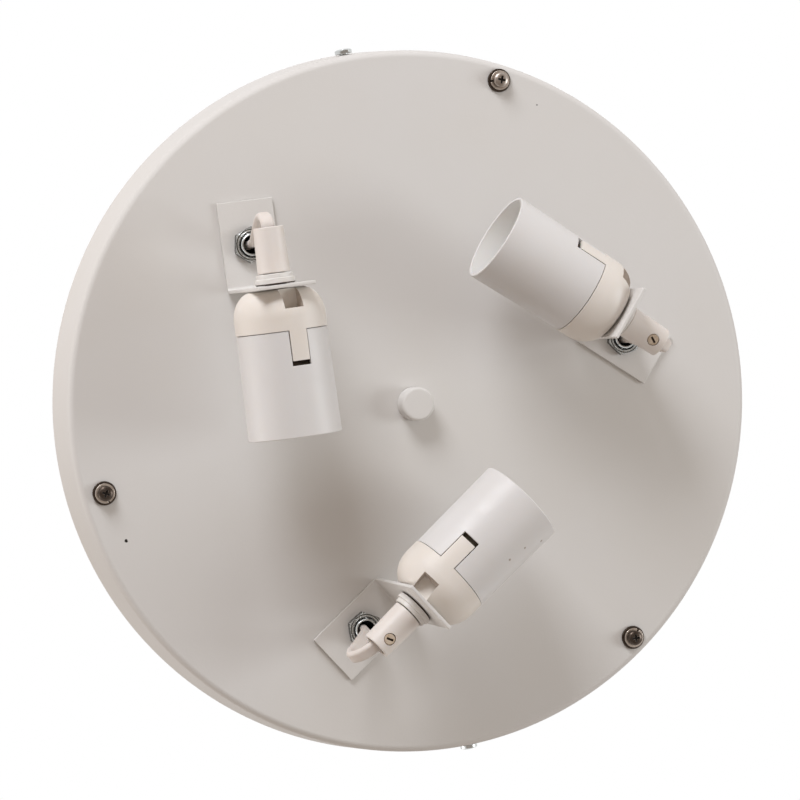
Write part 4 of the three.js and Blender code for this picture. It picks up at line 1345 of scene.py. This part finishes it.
def flex_piece(number):
    w, b, g = lengths("wiring"), lengths("bracket"), lengths("grip")
    tube = box_of(f"threaded_tube_{number}")
    nose, top = tube.low - FACE, tube.high - FACE
    climb = AXIS_DROP + nose
    loop = w.loop_reach * LOOP_SHARES[number - 1]
    bulge = w.flex_width * SWAY_SHARES[number - 1]
    aside = w.flex_width * NOSE_SWAY_SHARES[number - 1]
    points = [Vector((0, 0, top)), Vector((0, 0, top / 2)), Vector((0, 0, 0)),
              Vector((-w.flex_lean, aside, nose))]
    for reach, height, sway, near in zip(REACH_SHARES, HEIGHT_SHARES, BULGE_SHARES, NOSE_SHARES):
        points.append(Vector((-loop * reach, bulge * sway + aside * near, nose - climb * height)))
    points.append(Vector((b.foot_reach - g.end + g.mouth_depth / 4, 0, -AXIS_DROP)))
    points.append(Vector((b.foot_reach - b.sheet, 0, -AXIS_DROP)))
    points.append(Vector((b.foot_reach + w.flex_in_holder, 0, -AXIS_DROP)))
    cord_piece(f"flex_{number}", smooth_route(points), arm_frame(number))


def lead_piece(number):
    w = lengths("wiring")
    f_top = box_of(f"threaded_tube_{number}").high - FACE
    s = lengths("pan")
    spin = Matrix.Rotation(math.radians(120 * (number - 1)), 4, "Z")
    pivot = spin.inverted() @ (joint_place(f"swivel_{number}") - Vector((PATTERN.x, PATTERN.y, 0)))
    circle = pivot.x
    block = box_of("terminal_block")
    side = 1 if number == 1 else -1
    start = f_top + 0.3
    floor = s.sheet + w.lead_floor
    pole = block.centre.y - PATTERN.y + w.pole_pitch * (LEAD_POLES[number - 1] - 1)

    def entry(outward):
        outer = side * (w.block_depth / 2 + 0.3 + outward)
        return spin.inverted() @ Vector((outer, pole, block.low - FACE + w.block_height / 2))

    rise = w.lead_rise
    points = [
        Vector((circle, 0, start)),
        Vector((circle, 0, start + rise / 2)),
        Vector((circle - rise, 0, start + rise)),
        Vector((circle - 2 * rise, 0, start)),
        Vector((circle - 3 * rise, 0, floor)),
        Vector((circle / 2, 0, floor)),
        entry(2 * w.lead_stop),
        entry(w.lead_stop / 2),
        entry(0),
    ]
    place = METRES @ at(PATTERN.x, PATTERN.y, FACE) @ spin
    cord_piece(f"lead_{number}", smooth_route(points), place)


def cord_piece(node, route, place):
    """A flex along its route."""
    w = lengths("wiring")
    cord = dressed(flat_cord(node, route, w.flex_width, w.flex_height), place, node)
    return cord


# Brackets


def bracket_piece(number):
    b = lengths("bracket")
    top, bottom = -b.foot_gap, -b.foot_gap - b.sheet
    toe = top - b.leg_height
    side = rounded([
        (-b.foot_tail, top), (b.foot_reach, top, b.bend_radius + b.sheet), (b.foot_reach, toe),
        (b.foot_reach - b.sheet, toe), (b.foot_reach - b.sheet, bottom, b.bend_radius),
        (-b.foot_tail, bottom),
    ], steps=10)
    strip = moved(prism("bracket", side, -b.width / 2, b.width / 2), turned(90, "X"))
    neck = along_x(cutter_rod(b.neck_hole, b.foot_reach - b.sheet - 1, b.foot_reach + 1))
    moved(neck, at(0, 0, -AXIS_DROP))
    tube = cutter_rod(b.tube_hole, bottom - 1, top + 1)
    combined(strip, [neck, tube])
    softened(strip, b.edge, segments=3)
    return dressed(strip, arm_frame(number), f"bracket_{number}", finish("bracket_paint"))


# Lampholders

SLIVER = 0.02  # how far a face may lie off a notch's walls and still belong to it


def quarter(radius, start, run, rise):
    """A quarter of an oval that begins at a radius and length, as (radius, length)."""
    angles = (math.pi / 2 * k / DOME_STEPS for k in range(DOME_STEPS + 1))
    return [(radius + run * math.sin(a), start + rise * (1 - math.cos(a))) for a in angles]


def dome(h):
    """The cap's skin from the flat at the leg to the shoulder."""
    run, rise = h.cap_radius - h.cap_top_radius, h.cap_shoulder - h.start
    return quarter(h.cap_top_radius, h.start, run, rise)


def draw_tongue(body, h, inner):
    """Draws the seam's faces round +Y out to the tongue's end."""
    bm = bmesh.new()
    bm.from_mesh(body.data)

    def at_root(face):
        middle = face.calc_center_median()
        level = abs(middle.z - h.seam) < 1e-3
        beside = abs(middle.x) < h.tongue_width / 2 and middle.y > 0
        return level and beside and inner < middle.xy.length < h.cap_radius

    faces = [face for face in bm.faces if at_root(face)]
    drawn = bmesh.ops.extrude_face_region(bm, geom=faces)
    corners = [item for item in drawn["geom"] if isinstance(item, bmesh.types.BMVert)]
    bmesh.ops.translate(bm, verts=corners, vec=(0, 0, h.tongue_end - h.seam))
    left = [face for face in faces if face.is_valid]
    bmesh.ops.delete(bm, geom=left, context="FACES_ONLY")
    bmesh.ops.recalc_face_normals(bm, faces=bm.faces)
    bm.to_mesh(body.data)
    bm.free()


def holder_cap_piece(number):
    h = lengths("holder")
    skin = dome(h)
    run = h.spigot_radius - h.spigot_wall - 2 - h.cap_top_radius + h.cap_wall
    rise = h.base_start - 0.3 - h.start - h.cap_wall
    lining = quarter(h.cap_top_radius - h.cap_wall, h.start + h.cap_wall, run, rise)
    inner = h.cap_radius - h.tongue_thickness
    body = spun("cap", [
        (h.neck_bore, h.start), *skin, (h.cap_radius, h.seam), (inner, h.seam),
        (h.spigot_radius, h.seam), (h.spigot_radius, h.spigot_end),
        (h.spigot_radius - h.spigot_wall, h.spigot_end),
        (h.spigot_radius - h.spigot_wall, h.base_start - 0.3), *reversed(lining),
        (h.boss_radius, h.start + h.cap_wall), (h.boss_radius, h.boss_end),
        (h.neck_bore, h.boss_end),
    ], HOLDER_SIDES)
    draw_tongue(body, h, inner)
    full = spun("pocket", [(1, h.start), *skin, (1, h.cap_shoulder)], HOLDER_SIDES, capped=True)
    reach, wall = h.window_width / 2 + h.window_wall, h.window_wall
    liner = cutter_block((-reach, h.window_floor - wall, h.start),
                         (reach, h.cap_radius, h.window_end + wall))
    combined(full, [liner], "INTERSECT")
    window = cutter_block((-h.window_width / 2, h.window_floor, h.start - 1),
                          (h.window_width / 2, h.cap_radius + 1, h.window_end))
    combined(body, [full], "UNION")
    combined(body, [window])
    softened(body, h.edge)

    # The notch's walls and floor get darker copies of the cap's plastic: painted shade
    def in_window(face):
        x, y, z = face.center
        beside = abs(x) < h.window_width / 2 + SLIVER
        if not beside or y <= h.window_floor - SLIVER or z >= h.window_end + SLIVER:
            return None
        return "notch_floor" if y < h.window_floor + SLIVER else "notch_wall"

    place = holder_frame(number, HOLDER_ROLLS[number - 1]) @ LAID
    return dressed(body, place, f"holder_cap_{number}", within=in_window)


HOLDER_ROLLS = (-7.3, 53.4, -25)  # degrees from straight down to each holder's tongue
# Lays what is drawn along +Z along +X, with +Y down
LAID = Matrix(((0, 0, 1, 0), (-1, 0, 0, 0), (0, -1, 0, 0), (0, 0, 0, 1)))


def holder_sleeve_piece(number):
    h = lengths("holder")
    start, lip = h.seam + h.sleeve_gap, h.sleeve_wall / 3
    wall = spun("sleeve", rounded([
        (h.sleeve_seam_radius - h.sleeve_wall, start, h.edge),
        (h.sleeve_seam_radius, start, h.edge),
        (h.sleeve_radius, h.sleeve_end, lip),
        (h.sleeve_radius - h.sleeve_wall, h.sleeve_end, lip),
    ]), HOLDER_SIDES)
    slot = cutter_block((-h.slot_width / 2, 0, start - 1),
                        (h.slot_width / 2, h.sleeve_radius + 1, h.slot_end))
    combined(wall, [slot])
    softened(wall, h.edge)
    place = holder_frame(number, HOLDER_ROLLS[number - 1]) @ LAID
    marks = sleeve_marks(number, place)
    look = solid_material(f"sleeve_plastic_{number}", FINISHES["sleeve_plastic"], marks)

    inside = h.sleeve_seam_radius - h.sleeve_wall * 0.8

    # The sleeve's inside gets a lighter copy of its plastic: painted light
    def lit_inside(face):
        return "sleeve_lining" if face.center.xy.length < inside else None

    return dressed(wall, place, f"holder_sleeve_{number}", look, within=lit_inside)


# Smudges on the third sleeve: degrees round it from its tongue, length along it and radius
SMUDGES = ((-58.2, 38.9, 0.8), (-62.4, 47.4, 0.7), (-78.3, 55.4, 0.8))
SMUDGE_SHADE = (0.30, 0.23, 0.17)


def sleeve_marks(number, place):
    h = lengths("holder")
    if number != 3:
        return []
    marks = []
    for degrees, along, radius in SMUDGES:
        turn = math.radians(degrees)
        spot = Vector((h.sleeve_radius * math.sin(turn), h.sleeve_radius * math.cos(turn), along))
        marks.append((place @ spot, radius * MM, 0.8, SMUDGE_SHADE))
    return marks


def insert_pieces(number):
    h = lengths("holder")
    place = holder_frame(number) @ turned(90, "Y")
    bore, dish, dish_foot, dished = 2.2, 11.0, 10.6, h.base_end - 0.5
    outer_edge, inner_edge = 0.6, 0.2
    base = spun("base", rounded([
        (bore, h.base_start, inner_edge), (h.base_radius, h.base_start, outer_edge),
        (h.base_radius, h.base_end, outer_edge), (dish, h.base_end, inner_edge),
        (dish_foot, dished, inner_edge), (bore, dished, inner_edge),
    ]), SMALL_SIDES)
    wells = []
    for y in (-6, 6):
        well = cutter_rod(1.6, h.base_start + 2, h.base_end + 1, BORE_SIDES)
        wells.append(moved(well, at(0, y, 0)))
    combined(base, wells)
    softened(base, 0.12, segments=1)
    dressed(base, place, f"contact_base_{number}")
    inner = h.shell_radius - h.shell_wall
    low = h.shell_start + h.shell_wall
    thread = thread_of(low, h.shell_end, h.shell_pitch, h.shell_wave, rolled=True)
    outside = rows(h.shell_radius, low, h.shell_end, h.shell_pitch)
    inside = rows(inner, low, h.shell_end, h.shell_pitch)
    shell = spun("shell", [
        (h.shell_hole, h.shell_start), (h.shell_radius - 0.3, h.shell_start), *outside,
        *reversed(inside), (h.shell_hole, low),
    ], SMALL_SIDES, thread=thread, threaded_radii=(h.shell_radius, inner))

    # The shell's outside gets a dark finish: painted shade of the room between shell and sleeve
    def outer_side(face):
        outward = face.normal.xy.dot(face.center.xy) > 0
        return "shell_outside" if outward and face.center.xy.length > inner - h.shell_wave else None

    dressed(softened(shell), place, f"thread_shell_{number}", within=outer_side)


def contact_piece(number):
    """The sprung strip, with its tip dished towards the lamp."""
    h = lengths("holder")
    node = f"centre_contact_{number}"
    foot = h.base_end + 0.6
    root, tip, sheet, rise, half = -7.5, 1.2, 0.5, 3.6, 2.5
    side = [
        (foot, root), (foot + rise, tip / 2), (foot + rise - sheet, 2 * tip),
        (foot + rise - 2 * sheet, 2 * tip), (foot + rise - sheet, tip / 2),
        (foot, root + 2 * sheet),
    ]
    strip = prism("contact", side, -half, half)
    softened(strip, 0.1, segments=2, angle=20)
    return dressed(strip, holder_frame(number), node)


# Cord grips


def grip_pieces(number):
    g = lengths("grip")
    slack = g.ring_height * GRIP_SLACKS[number - 1]
    back, front = -g.end, slack - g.front
    thread = thread_of(front, g.neck_end, g.neck_pitch, 0.4)
    outline = [
        *rounded([
            (g.mouth, back + 1), (g.mouth, back, g.edge / 2), (g.end_radius, back, g.edge),
            (g.front_radius, front, g.edge), (g.neck_radius, front), (g.neck_radius, front + 0.5),
        ], closed=False),
        *rows(g.neck_radius, front + 0.5, g.neck_end, g.neck_pitch)[1:],
        (g.bore, g.neck_end), (g.bore, back + g.mouth_depth), (g.mouth, back + g.mouth_depth),
    ]
    body = spun("grip", outline, SMALL_SIDES, thread=thread, threaded_radii=(g.neck_radius,))
    hole = cutter_rod(g.screw_radius + 0.3, 0, g.front_radius + 1, 48)
    moved(hole, at(0, 0, back + g.screw_inset) @ turned(-90, "X"))
    combined(body, [hole])
    softened(body, 0.18, segments=2, angle=50)
    place = holder_frame(number, GRIP_ROLLS[number - 1], slack)
    dressed(body, place @ LAID, f"cord_grip_{number}")

    screw = spun("grip screw", rounded([
        (0.4, 0), (g.screw_radius, 0, 0.45), (g.screw_radius, g.screw_reach - g.screw_root, 0.2),
        (0.4, g.screw_reach - g.screw_root),
    ], closed=False), SMALL_SIDES, capped=True)
    half = g.screw_slot_length / 2
    slot = cutter_block((-half, -g.screw_slot_width / 2, -1),
                        (half, g.screw_slot_width / 2, g.screw_slot_depth))
    combined(screw, [slot])
    softened(screw, 0.1)

    # The slot's walls and floor get a dark finish: painted shade
    def in_slot(face):
        x, y, z = face.center
        beside = abs(x) < half + 0.05 and abs(y) < g.screw_slot_width / 2 + 0.02
        return "screw_slot_grime" if beside and 0.15 < z < g.screw_slot_depth + 0.1 else None

    spin = turned(GRIP_SCREW_TURNS[number - 1], "Z")
    middle = place @ at(g.screw_inset - g.end, 0, -g.screw_reach) @ spin
    dressed(screw, middle, f"grip_screw_{number}", within=in_slot)


GRIP_ROLLS = (170, -17, 6)  # degrees from straight down to each clamping screw
GRIP_SLACKS = (0.2, 0.0, 0.25)  # how much longer each grip is than drawn, in lock ring heights
GRIP_SCREW_TURNS = (0, 29, 65)  # degrees from the holder's axis to each screw's slot


def lock_ring_piece(number):
    g, b = lengths("grip"), lengths("bracket")
    high = -b.sheet - g.ring_gap
    low = high - g.ring_height
    step = low + g.ring_height * 0.42
    edge = g.ring_height / 8
    ring = spun("ring", rounded([
        (g.ring_bore, low), (g.ring_collar, low, 0.4), (g.ring_collar, step, 0.15),
        (g.ring_radius, step, 0.35), (g.ring_radius, high - edge, 0.25),
        (g.ring_radius - edge, high, 0.25), (g.ring_bore, high),
    ]), SMALL_SIDES)

    # The ring's face and chamfer next to the leg get a dark finish: painted shade of the gap
    def at_leg(face):
        return "screw_slot_grime" if face.center.z > high - 0.75 * edge else None

    place = holder_frame(number) @ turned(90, "Y")
    return dressed(softened(ring), place, f"lock_ring_{number}", within=at_leg)


# Stage

ROOM_TINT = (1.0, 0.857, 0.75, 1.0)
FLOOR_RADIUS = 4000
FLOOR_THICKNESS = 20
FLOOR_GLOW = 0.68  # seen by the camera alone


def camera_frame():
    """The camera's place and turn, at the photograph's viewing angle."""
    v = bpy.context.scene.ceiling_light.studio
    aim = Vector((v.aim_x, v.aim_y, FACE * MM))
    back = Vector((
        math.cos(v.elevation) * math.cos(v.azimuth),
        math.cos(v.elevation) * math.sin(v.azimuth),
        -math.sin(v.elevation),
    ))
    turn = back.to_track_quat("Z", "Y").to_matrix().to_4x4() @ Matrix.Rotation(v.roll, 4, "Z")
    return aim, back, turn


def soft_lamp(name, right, up, out, across, power, tint):
    """A square lamp at a place given in the camera's own directions from what it looks at."""
    aim, _, turn = camera_frame()
    data = bpy.data.lights.new(name, "AREA")
    data.shape = "SQUARE"
    data.size = across
    data.energy = power
    data.color = tint
    lamp = bpy.data.objects.new(name, data)
    bpy.context.scene.collection.objects.link(lamp)
    lamp.location = aim + turn.to_3x3() @ Vector((right, up, out))
    lamp.rotation_euler = (lamp.location - aim).to_track_quat("Z", "Y").to_euler()
    lamp.visible_camera = False
    return lamp


def room_light():
    """A plain white room: pure white where the camera or a gloss sees it, softer as light."""
    v = bpy.context.scene.ceiling_light.studio
    world = bpy.data.worlds.new("room")
    world.use_nodes = True
    tree = world.node_tree
    ray = add(tree, "ShaderNodeLightPath").outputs
    seen = calc(tree, "MAXIMUM", ray["Is Camera Ray"], ray["Is Transmission Ray"])
    shiny = calc(tree, "MAXIMUM", seen, ray["Is Glossy Ray"])
    background = tree.nodes["Background"].inputs
    tree.links.new(ramp(tree, shiny, 0.0, 1.0, v.ambient, 1.0), background["Strength"])
    tree.links.new(mixed(tree, shiny, ROOM_TINT, (1.0, 1.0, 1.0, 1.0)), background["Color"])
    bpy.context.scene.world = world


def floor_piece():
    v = lengths("studio")
    sheet = [(FLOOR_RADIUS, -FLOOR_THICKNESS), (FLOOR_RADIUS, 0)]
    floor = spun("floor", sheet, SMALL_SIDES, capped=True)
    moved(floor, METRES @ at(0, 0, -v.floor_drop))
    made, tree, shader = bare_material("floor_white")
    shader.inputs["Base Color"].default_value = (0.9, 0.9, 0.89, 1.0)
    shader.inputs["Roughness"].default_value = 0.8
    shader.inputs["Emission Color"].default_value = (0.80, 0.90, 1.0, 1.0)
    seen = add(tree, "ShaderNodeLightPath").outputs["Is Camera Ray"]
    tree.links.new(calc(tree, "MULTIPLY", seen, FLOOR_GLOW), shader.inputs["Emission Strength"])
    floor.data.materials.append(made)


def camera_piece():
    v = bpy.context.scene.ceiling_light.studio
    aim, back, turn = camera_frame()
    data = bpy.data.cameras.new("camera")
    data.sensor_width = 36
    data.sensor_fit = "HORIZONTAL"
    data.lens = v.lens
    data.clip_end = 20
    camera = bpy.data.objects.new("camera", data)
    bpy.context.scene.collection.objects.link(camera)
    camera.matrix_world = Matrix.Translation(aim + back * v.distance) @ turn
    bpy.context.scene.camera = camera


# Operators


class BuildOperator:
    """What the operators share"""

    bl_options = {"REGISTER", "UNDO"}

    def execute(self, context):
        self.build()
        return {"FINISHED"}


class LIGHT_OT_stage(BuildOperator, Operator):
    """Sets the camera, the lamps, the room and the floor"""

    bl_idname = "ceiling_light.stage"
    bl_label = "Stage"

    def build(self):
        v = bpy.context.scene.ceiling_light.studio
        bpy.context.scene.view_settings.view_transform = "Standard"
        camera_piece()
        room_light()
        soft_lamp("key", -0.50, 1.26, 0.86, 0.7, v.key_power, (0.936, 0.957, 1.0))
        soft_lamp("fill", 1.5, 0.0, 0.36, 0.6, v.fill_power, (0.911, 0.965, 1.0))
        soft_lamp("edge", -1.154, -0.49, 0.03, 0.5, v.edge_power, (1.0, 0.965, 0.934))
        floor_piece()


class LIGHT_OT_flexes(BuildOperator, Operator):
    """Lays the flexes to the lampholders and the leads in the pan"""

    bl_idname = "ceiling_light.flexes"
    bl_label = "Flexes and leads"

    def build(self):
        for number in ARMS:
            flex_piece(number)
            lead_piece(number)


class LIGHT_OT_pan(BuildOperator, Operator):
    """Makes the painted pan and the cap in its middle"""

    bl_idname = "ceiling_light.pan"
    bl_label = "Pan and cap"

    def build(self):
        pan_piece()
        cap_piece()


class LIGHT_OT_strap(BuildOperator, Operator):
    """Makes the strap that the pan hangs from, with its side screws"""

    bl_idname = "ceiling_light.strap"
    bl_label = "Strap and side screws"

    def build(self):
        strap_piece()
        side_screw_piece(1)
        side_screw_piece(2)


class LIGHT_OT_shade_screws(BuildOperator, Operator):
    """Makes the shade screws with their washers"""

    bl_idname = "ceiling_light.shade_screws"
    bl_label = "Shade screws"

    def build(self):
        for number in ARMS:
            flat_washer_piece(number)
            spring_washer_piece(number)
            shade_screw_piece(number)


class LIGHT_OT_tubes(BuildOperator, Operator):
    """Makes the threaded tubes and their nuts"""

    bl_idname = "ceiling_light.tubes"
    bl_label = "Tubes and nuts"

    def build(self):
        for number in ARMS:
            threaded_tube_piece(number)
            tube_bush_piece(number)
            tube_nut_pieces(number)


class LIGHT_OT_terminals(BuildOperator, Operator):
    """Makes the terminal block, the earth tag and the screw that holds them"""

    bl_idname = "ceiling_light.terminals"
    bl_label = "Terminals"

    def build(self):
        terminal_pieces()
        earth_tag_piece()
        centre_screw_pieces()


class LIGHT_OT_brackets(BuildOperator, Operator):
    """Makes the angle brackets"""

    bl_idname = "ceiling_light.brackets"
    bl_label = "Brackets"

    def build(self):
        for number in ARMS:
            bracket_piece(number)


class LIGHT_OT_caps(BuildOperator, Operator):
    """Makes the domed caps with their tongues"""

    bl_idname = "ceiling_light.caps"
    bl_label = "Holder caps"

    def build(self):
        for number in ARMS:
            holder_cap_piece(number)


class LIGHT_OT_sleeves(BuildOperator, Operator):
    """Makes the sleeves of the lampholders"""

    bl_idname = "ceiling_light.sleeves"
    bl_label = "Holder sleeves"

    def build(self):
        for number in ARMS:
            holder_sleeve_piece(number)


class LIGHT_OT_inserts(BuildOperator, Operator):
    """Makes what is inside the lampholders"""

    bl_idname = "ceiling_light.inserts"
    bl_label = "Holder inserts"

    def build(self):
        for number in ARMS:
            insert_pieces(number)
            contact_piece(number)


class LIGHT_OT_grips(BuildOperator, Operator):
    """Makes the cord grips, their clamping screws and their lock rings"""

    bl_idname = "ceiling_light.grips"
    bl_label = "Cord grips"

    def build(self):
        for number in ARMS:
            grip_pieces(number)
            lock_ring_piece(number)


OPERATORS = (
    LIGHT_OT_stage,
    LIGHT_OT_flexes,
    LIGHT_OT_pan,
    LIGHT_OT_strap,
    LIGHT_OT_shade_screws,
    LIGHT_OT_tubes,
    LIGHT_OT_terminals,
    LIGHT_OT_brackets,
    LIGHT_OT_caps,
    LIGHT_OT_sleeves,
    LIGHT_OT_inserts,
    LIGHT_OT_grips,
)


class LIGHT_PT_panel(Panel):
    """Lists the pieces of the ceiling light and their sizes"""

    bl_idname = "LIGHT_PT_panel"
    bl_label = "Ceiling Light"
    bl_space_type = "VIEW_3D"
    bl_region_type = "UI"
    bl_category = "Ceiling Light"

    def draw(self, context):
        for operator in OPERATORS:
            self.layout.operator(operator.bl_idname)
        for name, group in GROUPS.items():
            box = self.layout.box()
            box.label(text=name.capitalize())
            values = getattr(context.scene.ceiling_light, name)
            for label in group.__annotations__:
                box.prop(values, label)


CLASSES = (*GROUPS.values(), CeilingLight, *OPERATORS, LIGHT_PT_panel)


def register():
    for cls in CLASSES:
        bpy.utils.register_class(cls)
    bpy.types.Scene.ceiling_light = PointerProperty(type=CeilingLight)


def unregister():
    del bpy.types.Scene.ceiling_light
    for cls in reversed(CLASSES):
        bpy.utils.unregister_class(cls)


def main():
    register()
    for operator in OPERATORS:
        getattr(bpy.ops.ceiling_light, operator.bl_idname.split(".")[1])()


if __name__ == "__main__":
    main()
